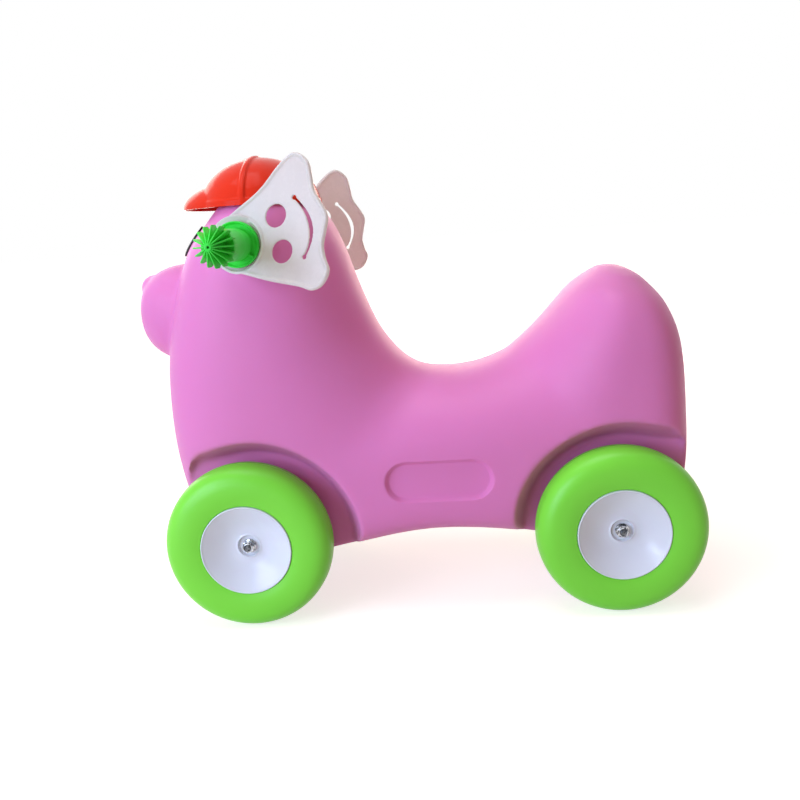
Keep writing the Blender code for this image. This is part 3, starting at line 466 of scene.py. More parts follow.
class Shader:
    """A node tree that is being wired up, with the nodes that the finishes and the studio share."""

    def __init__(self, owner: bpy.types.Material | bpy.types.World) -> None:
        """Takes over the owner's node tree and empties it."""
        owner.use_nodes = True
        self.tree = owner.node_tree
        self.tree.nodes.clear()

    def node(
        self,
        kind: str,
        settings: dict[str, object] | None = None,
        inputs: dict[str | int, object] | None = None,
    ) -> bpy.types.Node:
        """Adds a node with its settings and links.

        Args:
            kind: Blender's name of the node.
            settings: Its properties.
            inputs: A value or a source socket for each input.

        Returns:
            The node.
        """
        node = self.tree.nodes.new(kind)
        for key, value in (settings or {}).items():
            setattr(node, key, value)
        for key, value in (inputs or {}).items():
            if isinstance(value, bpy.types.NodeSocket):
                self.tree.links.new(value, node.inputs[key])
            else:
                node.inputs[key].default_value = value
        return node

    def place(self) -> Socket:
        """The Object coordinates."""
        return self.node("ShaderNodeTexCoord").outputs["Object"]

    def noise(self, place: Socket, size_mm: float, detail: float, rough: float = 0.5) -> Socket:
        """A noise from 0 to 1.

        Args:
            place: The Object coordinates.
            size_mm: The size of its features in millimetres.
            detail: How many finer noises lie over it.
            rough: How strong these are.

        Returns:
            Its value.
        """
        scale = MM_PER_M / size_mm
        inputs = {"Vector": place, "Scale": scale, "Detail": detail, "Roughness": rough}
        return self.node("ShaderNodeTexNoise", inputs=inputs).outputs["Fac"]

    def ranged(self, value: Socket, source: Point, target: Point, kind: str = "LINEAR") -> Socket:
        """A value taken from one range to another.

        Args:
            value: The value.
            source: The range that it comes from.
            target: The range that it goes to, which it never leaves.
            kind: How it goes from one end to the other.

        Returns:
            The new value.
        """
        ends = {"From Min": source[0], "From Max": source[1], "To Min": target[0], "To Max": target[1]}
        settings = {"interpolation_type": kind}
        return self.node("ShaderNodeMapRange", settings, {"Value": value, **ends}).outputs["Result"]

    def blended(self, share: Socket, first: str, second: str) -> Socket:
        """A colour between two sRGB hex codes."""
        inputs = {"Factor": share, 6: linear(first), 7: linear(second)}
        return self.node("ShaderNodeMix", {"data_type": "RGBA"}, inputs).outputs[2]

    def bumped(
        self, height: Socket, strength: float, rise: float, under: Socket | None = None
    ) -> Socket:
        """A normal for a relief.

        Args:
            height: The relief from 0 to 1.
            strength: How much of it shows.
            rise: Its height in metres.
            under: The normal that it is laid on, or None for the bare surface.

        Returns:
            The normal.
        """
        inputs = {"Strength": strength, "Distance": rise, "Height": height}
        if under is not None:
            inputs["Normal"] = under
        return self.node("ShaderNodeBump", inputs=inputs).outputs["Normal"]

    def maths(self, operation: str, *values: Socket) -> Socket:
        """Values put through a maths node."""
        return self.node("ShaderNodeMath", {"operation": operation}, dict(enumerate(values))).outputs[0]

    def show(self, surface: Socket, kind: str = "Material") -> None:
        """Links a surface to the output."""
        self.node(f"ShaderNodeOutput{kind}", inputs={"Surface": surface})


@dataclass(frozen=True)
class MouldedPlastic:
    """A moulded plastic: fine grain from the mould, cloudy colour and soft handling marks.

    Sizes are in millimetres. The colour runs between tone and cloud, as pigment does in a wall of
    uneven thickness. Scatter is how much light enters the plastic, translucent is how much comes
    through a thin wall.
    """

    name: str
    slot: str
    tone: str
    cloud: str
    roughness: float
    grain_mm: float
    grain_height_mm: float
    ior: float = 1.51
    scatter: float = 0.0
    scatter_mm: float = 2.0
    scatter_reach: Triple = (1.0, 0.55, 0.75)
    coat: float = 0.0
    coat_roughness: float = 0.08
    specular: float = 0.4
    translucent: float = 0.0
    cloud_mm: float = 70.0
    rub_mm: float = 9.0
    rub_gloss: Point = (-0.045, 0.055)
    grain_strength: float = 0.6
    seam_half_mm: float = 0.0
    seam_height_mm: float = 0.3
    seam_strength: float = 0.7

    def build(self) -> bpy.types.Material:
        """The material."""
        material = bpy.data.materials.new(self.name)
        shader = Shader(material)
        place = shader.place()
        clouds = shader.noise(place, self.cloud_mm, 3.0, 0.45)
        colour = shader.blended(clouds, self.tone, self.cloud)
        rubs = shader.noise(place, self.rub_mm, 5.0, 0.6)
        glossy, worn = (self.roughness + change for change in self.rub_gloss)
        grain = shader.noise(place, self.grain_mm, 2.0)
        normal = shader.bumped(grain, self.grain_strength, self.grain_height_mm / MM_PER_M)
        if self.seam_half_mm:
            normal = self.seam(shader, place, normal)
        surface = shader.node(
            "ShaderNodeBsdfPrincipled",
            inputs={
                "Base Color": colour,
                "Roughness": shader.ranged(rubs, (0.3, 0.7), (glossy, worn)),
                "IOR": self.ior,
                "Specular IOR Level": self.specular,
                "Normal": normal,
                "Subsurface Weight": self.scatter,
                "Subsurface Radius": self.scatter_reach,
                "Subsurface Scale": self.scatter_mm / MM_PER_M,
                "Coat Weight": self.coat,
                "Coat Roughness": self.coat_roughness,
            },
        ).outputs["BSDF"]
        if self.translucent:
            through = shader.node("ShaderNodeBsdfTranslucent", inputs={"Color": colour}).outputs[0]
            inputs = {0: self.translucent, 1: surface, 2: through}
            surface = shader.node("ShaderNodeMixShader", inputs=inputs).outputs[0]
        shader.show(surface)
        return material

    def seam(self, shader: Shader, place: Socket, normal: Socket) -> Socket:
        """A trimmed mould seam that stands a little proud all along the toy's middle plane.

        Args:
            shader: The material's node tree.
            place: The Object coordinates.
            normal: The normal that the seam is laid on.

        Returns:
            The normal with the seam.
        """
        across = shader.node("ShaderNodeSeparateXYZ", inputs={"Vector": place}).outputs["X"]
        half = self.seam_half_mm / MM_PER_M
        height = shader.ranged(shader.maths("ABSOLUTE", across), (0.0, half), (1.0, 0.0), "SMOOTHSTEP")
        return shader.bumped(height, self.seam_strength, self.seam_height_mm / MM_PER_M, normal)


@dataclass(frozen=True)
class PlatedSteel:
    """Turned or rolled steel with a bright zinc plating: cool grey, fine rings, slight staining."""

    name: str
    slot: str
    bright: str = "#CFD1D4"
    dull: str = "#5E6165"
    roughness: float = 0.20
    stain_mm: float = 4.0
    stain_edge: Point = (0.42, 0.60)
    stain_gloss: Point = (-0.06, 0.12)
    ring_mm: float = 0.5
    ring_height_mm: float = 0.02
    ring_strength: float = 0.25

    def build(self) -> bpy.types.Material:
        """The material."""
        material = bpy.data.materials.new(self.name)
        shader = Shader(material)
        place = shader.place()
        stains = shader.noise(place, self.stain_mm, 4.0)
        patches = shader.ranged(stains, self.stain_edge, (0.0, 1.0))
        glossy, dull = (self.roughness + change for change in self.stain_gloss)
        # Blender's band texture has 20 bands to a unit of scale
        scale = MM_PER_M / self.ring_mm / 20
        rings = shader.node(
            "ShaderNodeTexWave",
            {"wave_type": "BANDS", "bands_direction": "X"},
            {"Vector": place, "Scale": scale, "Distortion": 1.5, "Detail": 2.0},
        ).outputs["Fac"]
        surface = shader.node(
            "ShaderNodeBsdfPrincipled",
            inputs={
                "Base Color": shader.blended(patches, self.bright, self.dull),
                "Metallic": 1.0,
                "Roughness": shader.ranged(stains, (0.0, 1.0), (glossy, dull)),
                "Normal": shader.bumped(rings, self.ring_strength, self.ring_height_mm / MM_PER_M),
            },
        )
        shader.show(surface.outputs["BSDF"])
        return material


class Finish(Enum):
    """Every finish on the toy."""

    # Blown polyethylene: satin from a sand-blasted mould, with light that sinks in a little
    BODY = MouldedPlastic(
        "blown_polyethylene_pink", "body_pink", "#E688C4", "#DF83BD", 0.42, 1.1, 0.05,
        specular=0.15, scatter=0.15, scatter_mm=14.0, scatter_reach=(1.0, 0.3, 0.2), cloud_mm=90.0,
        seam_half_mm=0.9,
    )
    # Blown polyethylene again, in a polished mould: smoother, with a soft broad shine
    TYRE = MouldedPlastic(
        "blown_polyethylene_lime", "tyre_green", "#84E944", "#7CE140", 0.34, 1.6, 0.04, specular=0.3,
        scatter=0.10, scatter_mm=3.0,
    )
    # Injection-moulded polypropylene, glossy: the hub shows the lamps as clear spots
    HUB = MouldedPlastic(
        "moulded_polypropylene_hub", "hub_white", "#E4EAF2", "#DEE5EE", 0.22, 2.5, 0.02,
        ior=1.49, specular=0.3, scatter=0.15, coat=0.12, cloud_mm=30.0,
    )
    # The same polypropylene in the ears, a little warmer and less polished
    EAR = MouldedPlastic(
        "moulded_polypropylene_ear", "ear_white", "#EBE8E4", "#E4E1DD", 0.26, 2.0, 0.03,
        ior=1.49, specular=0.35, scatter=0.30, scatter_mm=4.0, scatter_reach=(1.0, 0.85, 0.75),
        translucent=0.35, cloud_mm=30.0,
    )
    # Injection-moulded polypropylene with an orange-red pigment and a high polish
    CAP = MouldedPlastic(
        "moulded_polypropylene_red", "cap_red", "#EA3A22", "#E2341D", 0.14, 2.2, 0.02,
        ior=1.49, specular=0.05, scatter=0.05, cloud_mm=40.0,
    )
    # Soft vinyl: rubbery, slightly matt, with light in the thin fins
    GRIP = MouldedPlastic(
        "soft_vinyl_green", "grip_green", "#4AEA54", "#42DE4C", 0.36, 0.9, 0.03,
        ior=1.53, specular=0.07, scatter=0.25, scatter_mm=2.5, cloud_mm=12.0,
    )
    # Gloss black plastic buttons
    EYE = MouldedPlastic(
        "gloss_black_buttons", "eye_black", "#141216", "#1B181D", 0.22, 1.5, 0.01, coat=0.4,
    )
    # Natural nylon in the bushes
    NYLON = MouldedPlastic(
        "turned_nylon", "nylon", "#E2DFD3", "#D8D4C6", 0.42, 0.8, 0.02, ior=1.53, scatter=0.2,
    )
    # The lock nut's ring is dark nylon: its dark colour is partly the nylon's own and partly painted shade
    # in the nut's hole
    LOCK_RING = MouldedPlastic(
        "dyed_nylon_ring", "nylon", "#3C4046", "#33363B", 0.45, 0.8, 0.02, ior=1.53,
    )
    # Bright zinc on steel
    ZINC = PlatedSteel("bright_zinc_steel", "zinc_steel")
    # The axle's plating is worn and sawn off at its ends, and its colour, darker than the nuts', is also
    # painted shade on the rod's end inside the nut
    AXLE = PlatedSteel("dull_rolled_steel", "zinc_steel", "#707377", "#3A3C40", 0.38)

    @property
    def material(self) -> bpy.types.Material:
        """The finish's material, made when it is first asked for."""
        return bpy.data.materials.get(self.value.name) or self.value.build()


def dress(piece: Piece, finish: Finish, body: str, *nodes: str) -> Piece:
    """Gives a piece its finish, sets it on a body and lets it stand for CAD nodes.

    Args:
        piece: The finished piece.
        finish: Its finish.
        body: The body that it moves with.
        nodes: The nodes that it stands for.

    Returns:
        The piece.
    """
    piece.data.materials.clear()
    piece.data.materials.append(finish.material)
    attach(piece, body)
    if nodes:
        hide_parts(*nodes)
    LOG.info("%s: %d faces", piece.name, len(piece.data.polygons))
    return piece


def pair(pattern: Piece, name: str, finish: Finish, node: str) -> list[Piece]:
    """Uses up a pattern of the toy's left side for a left piece and its mirror image.

    Args:
        pattern: The left piece in its place.
        name: What both are called, before their side.
        finish: Their finish.
        node: The nodes that they stand for, before their side.

    Returns:
        The left and the right piece.
    """
    made = []
    for side, place in ((Side.LEFT, None), (Side.RIGHT, MIRROR)):
        copy = duplicate(pattern, f"{name}_{side.word}", place)
        made.append(dress(copy, finish, CHASSIS, f"{node}_{side.word}"))
    bpy.data.objects.remove(pattern)
    return made


# Body


@dataclass(frozen=True)
class Section:
    """A section of the body in the side view, from its outer edge to its inner edge."""

    outer: Point
    inner: Point
    half_width: float
    waist: float
    outer_power: float
    inner_power: float

    def row(self) -> tuple[float, ...]:
        """All its values in one row."""
        powers = (self.outer_power, self.inner_power)
        return (*self.outer, *self.inner, self.half_width, self.waist, *powers)

    @classmethod
    def from_row(cls, row: Sequence[float]) -> "Section":
        """The section whose values stand in one row."""
        outer_y, outer_h, inner_y, inner_h, *rest = row
        return cls((outer_y, outer_h), (inner_y, inner_h), *rest)


@dataclass
class MouldedBody:
    """The one-piece body: a lofted form with muzzle, nose, wheel arches and side recesses."""

    half_width: float = 0.130
    chest: float = -0.104
    rump_overhang: float = 0.0905
    seat_h: float = 0.180
    hump_h: float = 0.297
    belly_h: float = -0.006
    lobe_h: float = -0.046
    around: int = 96
    dense: int = 240
    rings_per_gap: int = 5
    cap_rings: int = 5
    head_pole: Point = (0.030, HEAD_H)
    tail_pole: float = 0.015
    muzzle_at: Point = (-0.0735, HEAD_H - 0.1625)
    muzzle_size: Triple = (0.060, 0.0655, 0.0608)
    muzzle_power: float = 2.3
    nose_at: Point = (-0.1205, HEAD_H - 0.1295)
    nose_size: Triple = (0.021, 0.0172, 0.0165)
    handle_at: Point = HANDLE_AT
    pad_radius: float = 0.033
    pad_x: float = 0.1265
    arch_radius: float = 0.1315
    arch_drop: float = 0.007
    arch_setback: float = 0.005
    arch_facets: int = 256
    arch_rise: float = 0.2
    rise_full: float = 0.064
    rise_end: float = 0.084
    rear_lift: float = 0.003
    floor_radius: float = 0.116
    floor_drop: float = 0.0115
    floor_x: float = ARCH_FLOOR_X
    panel_size: Point = (0.124, 0.047)
    panel_at: Point = (0.229, 0.067)
    panel_depth: float = 0.006
    tunnel_radius: float = 0.0095
    tunnel_half: float = 0.2
    bar_radius: float = BAR_RADIUS

    def sections(self) -> list[Section]:
        """The drawn sections, from the head round under the saddle to the hump."""
        chest, full, rear = self.chest, self.half_width, WHEELBASE
        rump, middle, seat = WHEELBASE + self.rump_overhang, WHEELBASE / 2, self.seat_h
        neck, top = HEAD_H - seat, self.hump_h
        hump = top - seat
        belly, lobe = self.belly_h, self.lobe_h
        rows = [
            ((0.003, HEAD_H - 0.008), (0.060, seat + neck * 0.970), full - 0.070, 0.50, 2.2, 2.2),
            ((-0.021, HEAD_H - 0.038), (0.088, seat + neck * 0.850), full - 0.031, 0.54, 2.3, 2.2),
            ((-0.036, HEAD_H - 0.055), (0.106, seat + neck * 0.775), full - 0.021, 0.54, 2.4, 2.2),
            ((-0.063, HEAD_H - 0.090), (0.122, seat + neck * 0.640), full - 0.009, 0.53, 2.5, 2.2),
            ((chest + 0.018, HEAD_H - 0.155), (0.140, seat + neck * 0.42), full - 0.002, 0.50, 2.6, 2.2),
            ((chest + 0.003, 0.200), (0.160, seat + neck * 0.225), full, 0.50, 2.8, 2.2),
            ((chest + 0.002, 0.110), (0.182, seat + neck * 0.100), full, 0.50, 3.0, 2.3),
            ((chest + 0.016, 0.030), (0.200, seat + neck * 0.040), full, 0.50, 3.2, 2.3),
            ((chest + 0.038, -0.034), (0.215, seat + neck * 0.014), full, 0.50, 3.6, 2.4),
            ((0.010, lobe), (middle + 0.007, seat + 0.001), full, 0.50, 4.2, 2.4),
            ((0.100, belly - 0.019), (middle + 0.019, seat), full, 0.50, 5.0, 2.4),
            ((middle, belly), (middle + 0.043, seat), full, 0.50, 5.0, 2.4),
            ((rear - 0.092, belly - 0.011), (middle + 0.072, seat + hump * 0.050), full, 0.50, 5.0, 2.4),
            ((rear - 0.004, lobe), (middle + 0.099, seat + hump * 0.145), full, 0.50, 4.2, 2.4),
            ((rump - 0.020, -0.030), (rear - 0.104, seat + hump * 0.250), full, 0.50, 3.6, 2.3),
            ((rump - 0.001, 0.050), (rear - 0.086, seat + hump * 0.380), full, 0.50, 3.6, 2.3),
            ((rump, 0.130), (rear - 0.068, seat + hump * 0.530), full - 0.001, 0.50, 3.4, 2.3),
            ((rump - 0.004, 0.205), (rear - 0.050, seat + hump * 0.695), full - 0.010, 0.49, 3.0, 2.2),
            ((rump - 0.020, 0.252), (rear - 0.034, seat + hump * 0.825), full - 0.026, 0.48, 2.6, 2.2),
            ((rump - 0.045, top - 0.015), (rear - 0.012, seat + hump * 0.945), full - 0.06, 0.50, 2.3, 2.2),
        ]
        return [Section(*row) for row in rows]

    def ring(self, section: Section) -> list[Vector]:
        """The points round one section.

        Args:
            section: The section.

        Returns:
            As many points as the loft has round it, evenly spaced, from the inner edge.
        """
        outer, inner = Vector(section.outer), Vector(section.inner)
        along = (outer - inner).normalized()
        widest = inner.lerp(outer, section.waist)
        line: list[Vector] = []
        lengths = [0.0]
        for i in range(self.dense + 1):
            angle = math.pi * i / self.dense
            edge, power = inner, section.inner_power
            if angle >= math.pi / 2:
                edge, power = outer, section.outer_power
            place = widest + along * (edge - widest).dot(along) * abs(math.cos(angle)) ** (2 / power)
            across = section.half_width * abs(math.sin(angle)) ** (2 / power)
            line.append(spot(across, place.x, place.y))
            if i:
                lengths.append(lengths[-1] + (line[-1] - line[-2]).length)
        half, k, side = self.around // 2, 0, []
        for i in range(half + 1):
            want = lengths[-1] * i / half
            while k < self.dense - 1 and lengths[k + 1] < want:
                k += 1
            share = (want - lengths[k]) / (lengths[k + 1] - lengths[k])
            side.append(line[k].lerp(line[k + 1], min(max(share, 0.0), 1.0)))
        return side + [Vector((-p.x, p.y, p.z)) for p in reversed(side[1:-1])]

    def rings(self) -> list[list[Vector]]:
        """Every ring of the loft, with domed ends towards the head's and the hump's top."""
        rows = [section.row() for section in self.sections()]
        found = []
        for i in range(len(rows) - 1):
            near = [rows[min(max(k, 0), len(rows) - 1)] for k in (i - 1, i, i + 1, i + 2)]
            for step in range(self.rings_per_gap):
                t = step / self.rings_per_gap
                weights = (
                    (-t + 2 * t**2 - t**3) / 2,
                    (2 - 5 * t**2 + 3 * t**3) / 2,
                    (t + 4 * t**2 - 3 * t**3) / 2,
                    (t**3 - t**2) / 2,
                )
                row = [sum(w * v for w, v in zip(weights, four)) for four in zip(*near)]
                found.append(self.ring(Section.from_row(row)))
        found.append(self.ring(Section.from_row(rows[-1])))
        head, tail = spot(0, *self.head_pole), spot(0, WHEELBASE + self.tail_pole, self.hump_h)
        return [*reversed(self.dome(found[0], head)), *found, *self.dome(found[-1], tail)]

    def dome(self, ring: list[Vector], pole: Vector) -> list[list[Vector]]:
        """Rings that close an end of the loft in a shallow dome.

        Args:
            ring: The loft's last ring.
            pole: The dome's middle.

        Returns:
            Rings that shrink towards the pole, and the pole alone.
        """
        centre = sum(ring, Vector()) / len(ring)
        found = []
        for i in range(1, self.cap_rings + 1):
            left = 1 - i / (self.cap_rings + 1)
            found.append([centre + (p - centre) * left + (pole - centre) * (1 - left**2) for p in ring])
        return [*found, [pole]]

    def arch(self, end: End, side: Side) -> Piece:
        """The form that cuts a wheel arch: a leaning cone, higher towards the toy's end.

        Args:
            end: Which axle's arch.
            side: Which side's.

        Returns:
            The cone, from the arch's floor to well outside the body.
        """
        depth = self.half_width - self.floor_x
        slope = (self.arch_radius - self.floor_radius) / depth
        clear_selection()
        bpy.ops.mesh.primitive_cone_add(
            vertices=self.arch_facets,
            radius1=self.floor_radius,
            radius2=self.floor_radius + slope * 2 * depth,
            depth=2 * depth,
            location=(depth, 0, 0),
            rotation=(0, math.pi / 2, 0),
        )
        cone = fresh("arch_cone")
        outward = -1 if end is End.FRONT else 1
        for vert in cone.data.vertices:
            out = max(vert.co.y * outward, 0.0)
            left = min(max((self.rise_end - out) / (self.rise_end - self.rise_full), 0.0), 1.0)
            if vert.co.z > 0.0:
                vert.co.z += self.arch_rise * (out / self.arch_radius) ** 4 * left**2 * (3 - 2 * left)
        lean = Matrix.Identity(4)
        drop = self.arch_drop - (self.rear_lift if end is End.REAR else 0.0)
        lean[2][0] = (self.floor_drop - drop) / depth
        place = Matrix.Translation(spot(self.floor_x, end.value + self.arch_setback, -self.floor_drop))
        cone.data.transform(Matrix.Scale(side.value, 4, (1, 0, 0)) @ place @ lean)
        return face_outward(cone)

    def recess(self, side: Side) -> Piece:
        """The form that cuts a shallow round-ended recess, with a drafted wall and rounded edges.

        Args:
            side: Which side's recess.

        Returns:
            The form.
        """
        length, height = self.panel_size
        straight, depth = (length - height) / 2, self.panel_depth
        turns = [math.pi * (i / 24 - 0.5) for i in range(25)]

        def outline(out: float, grown: float) -> list[Vector]:
            """The recess's outline at a distance out of the side, grown by so much all round."""
            radius = height / 2 + grown
            half = [(straight + radius * math.cos(a), radius * math.sin(a)) for a in turns]
            x = side.value * (self.half_width + out)
            y, h = self.panel_at
            return [spot(x, y + u, h + v) for u, v in half + [(-u, -v) for u, v in half]]

        # From the floor's middle over its rounded corner, the drafted wall and the rolled edge
        profile = [
            (-depth, -0.0200), (-depth, -0.0042), (0.0003 - depth, -0.0030), (0.0011 - depth, -0.0020),
            (-0.0012, 0.0006), (-0.0004, 0.0014), (-0.0001, 0.0024), (0.0006, 0.0050), (0.0200, 0.0060),
        ]
        rings = [outline(out, grown) for out, grown in profile]
        ends = [[sum(ring, Vector()) / len(ring)] for ring in (rings[0], rings[-1])]
        return lofted("recess_form", [ends[0], *rings, ends[1]])

    def tunnel(self, name: str, radius: float, y: float, h: float) -> Piece:
        """A round cutter right across the body."""
        return put(rod(name, radius, -self.tunnel_half, self.tunnel_half, 32), 0, y, h)

    def build(self) -> Piece:
        """The finished body."""
        voxel = by_speed(0.0029)
        body = lofted("body_shell", self.rings())
        muzzle = put(ball("muzzle_form", self.muzzle_size, 64, self.muzzle_power), 0, *self.muzzle_at)
        nose = put(ball("nose_form", self.nose_size, 48), 0, *self.nose_at)
        pads = put(rod("ear_pads", self.pad_radius, -self.pad_x, self.pad_x, 64), 0, *self.handle_at)
        for form in (muzzle, nose, pads):
            combine(body, form)
        soften(body, voxel, by_speed(7))
        for side in Side:
            carve(body, self.arch(End.FRONT, side), self.arch(End.REAR, side))
        soften(body, voxel, by_speed(4))
        carve(body, *(self.recess(side) for side in Side))
        for end in End:
            carve(body, self.tunnel("axle_tunnel", self.tunnel_radius, end.value, 0))
        carve(body, self.tunnel("bar_tunnel", self.bar_radius, *self.handle_at))
        shade(body, 50)
        return dress(body, Finish.BODY, CHASSIS, "body")


@dataclass
class EyeButton:
    """A flat oval button of gloss black plastic that follows the front of the head."""

    x: float = 0.055
    h: float = HEAD_H - 0.076
    half_width: float = 0.011
    half_height: float = 0.0165
    thickness: float = 0.0025
    edge: float = 0.0009
    start_y: float = -0.15
    inset_rings: int = 6
    inset_step: float = 0.15

    def build(self, side: Side, head: Piece) -> Piece:
        """Lays the button on the head.

        Args:
            side: Which eye.
            head: The finished body that it is laid on.

        Returns:
            The button.
        """
        clear_selection()
        bpy.ops.mesh.primitive_circle_add(
            vertices=64, radius=1.0, fill_type="NGON", rotation=(math.pi / 2, 0, 0)
        )
        eye = fresh(f"eye_button_{side.word}")
        with editing(eye):
            for _ in range(self.inset_rings):
                bpy.ops.mesh.inset(thickness=self.inset_step)
        size = Matrix.Diagonal((self.half_width, 1.0, self.half_height, 1.0))
        before_face = Matrix.Translation(spot(side.value * self.x, self.start_y, self.h))
        eye.data.transform(before_face @ size)
        modify(
            eye, "SHRINKWRAP", wrap_method="PROJECT", target=head, offset=CLEARANCE,
            use_project_y=True, use_positive_direction=True, use_negative_direction=False,
        )
        modify(eye, "SOLIDIFY", thickness=self.thickness, offset=1.0)
        sharp = math.radians(50)
        modify(eye, "BEVEL", width=self.edge, segments=4, limit_method="ANGLE", angle_limit=sharp)
        shade(face_outward(eye, 1e-7), 60)
        return dress(eye, Finish.EYE, CHASSIS, f"eye_{side.word}")


# Cap


@dataclass
class PeakedCap:
    """The red cap: crown, peak, cross rib and rim band in one glossy shell, and its two screws."""

    y: float = 0.026
    rim_h: float = HEAD_H - 0.0385
    crown: Triple = (0.105, 0.0712, 0.0578)
    peak: Triple = (0.093, 0.096, 0.0375)
    peak_root: float = 0.020
    wall: float = 0.0027
    band_height: float = 0.007
    band_proud: float = 0.0015
    rib_width: float = 0.0055
    rib_proud: float = 0.0022
    screw_angle: float = math.radians(25)
    screw_h: float = 0.0065
    screw_radius: float = 0.0018
    screw_length: float = 0.016
    screw_pitch: float = 0.0012
    head_radius: float = 0.004
    head_height: float = 0.0022
    slot_half: float = 0.0004
    hole_half: float = 0.02

    def dome(self, name: str, size: Sequence[float], low: float = -FAR, high: float = FAR) -> Piece:
        """An ellipsoid about the middle of the rim, or a slice of it.

        Args:
            name: The piece's name.
            size: Its half axes.
            low: Where the slice starts, back from the middle.
            high: Where it ends.

        Returns:
            The form.
        """
        form = ball(name, size, 96)
        if low > -FAR or high < FAR:
            combine(form, block("keep", (-FAR, low, -FAR), (FAR, high, FAR)), "INTERSECT")
        return put(form, 0, self.y, self.rim_h)

    def screw_place(self, side: Side) -> Matrix:
        """Where a screw stands.

        Args:
            side: Which side's screw.

        Returns:
            The place on the crown's side, with X square to the wall there.
        """
        half_x, half_y, _ = self.crown
        across, along = math.cos(self.screw_angle), math.sin(self.screw_angle)
        turn = math.atan2(along / half_y, across / half_x)
        x, y = half_x * across + self.band_proud, self.y + half_y * along
        place = Matrix.Translation(spot(x, y, self.rim_h + self.screw_h))
        mirrored = Matrix.Scale(side.value, 4, (1, 0, 0))
        return mirrored @ (place @ Matrix.Rotation(turn, 4, "Z"))

    def screw(self, side: Side) -> Piece:
        """A pan-head screw with a cross slot.

        Args:
            side: Which side's screw.

        Returns:
            The dressed screw in its hole.
        """
        head, radius, height = self.head_radius, self.screw_radius, self.head_height
        pitch, z = self.screw_pitch, -self.screw_pitch
        profile = [(0.0, height), (head * 0.5, height * 0.97), (head * 0.85, height * 0.70)]
        profile += [(head, height * 0.25), (head, 0.0), (radius, 0.0)]
        while z > -(self.screw_length - 3 * radius):
            profile += [(radius, z), (radius * 0.72, z - pitch / 2)]
            z -= pitch
        profile += [(radius * 0.9, z), (0.0, -(self.screw_length - CLEARANCE))]
        piece = turned(f"cap_fixing_{side.word}", profile, 32)
        reach = head * 0.62
        for turn in (0.0, math.pi / 2):
            low, high = (-reach, -self.slot_half, height * 0.45), (reach, self.slot_half, height * 2)
            slot = block("slot", low, high)
            slot.data.transform(Matrix.Rotation(turn, 4, "Z"))
            carve(piece, slot)
        lay = Matrix.Rotation(math.pi / 2, 4, "Y")
        place = self.screw_place(side) @ Matrix.Translation((CLEARANCE, 0, 0)) @ lay
        piece.data.transform(place)
        if place.determinant() < 0:
            piece.data.flip_normals()
        return dress(shade(piece), Finish.ZINC, CHASSIS, f"cap_screw_{side.word}")

    def build(self) -> Piece:
        """The finished cap, with its screws."""
        proud = [size + self.band_proud for size in self.crown]
        high_rib = [size + self.rib_proud for size in self.crown]
        half, rim = self.rib_width / 2, spot(0, 0, self.rim_h)
        cap = self.dome("cap_shell", self.crown)
        combine(cap, self.dome("peak_form", self.peak, high=-self.peak_root))
        combine(cap, self.dome("rib_form", high_rib, -half, half))
        band = self.dome("band_form", proud)
        band_top = spot(0, 0, self.rim_h + self.band_height).z
        combine(band, block("band_block", (-FAR, -FAR, -FAR), (FAR, FAR, band_top)), "INTERSECT")
        combine(cap, band)
        soften(cap, by_speed(0.0013), by_speed(3))
        with editing(cap):
            bpy.ops.mesh.bisect(plane_co=rim, plane_no=(0, 0, 1), clear_inner=True, use_fill=False)
        modify(cap, "SOLIDIFY", thickness=self.wall, offset=-1.0, use_even_offset=False)
        carve(cap, block("below", (-FAR, -FAR, -FAR), (FAR, FAR, rim.z)))
        for side in Side:
            hole = rod("hole", self.screw_radius + 2 * CLEARANCE, -self.hole_half, self.hole_half, 24)
            hole.data.transform(self.screw_place(side))
            carve(cap, face_outward(hole))
            self.screw(side)
        shade(cap, 40)
        return dress(cap, Finish.CAP, CHASSIS, "cap")


# Ears


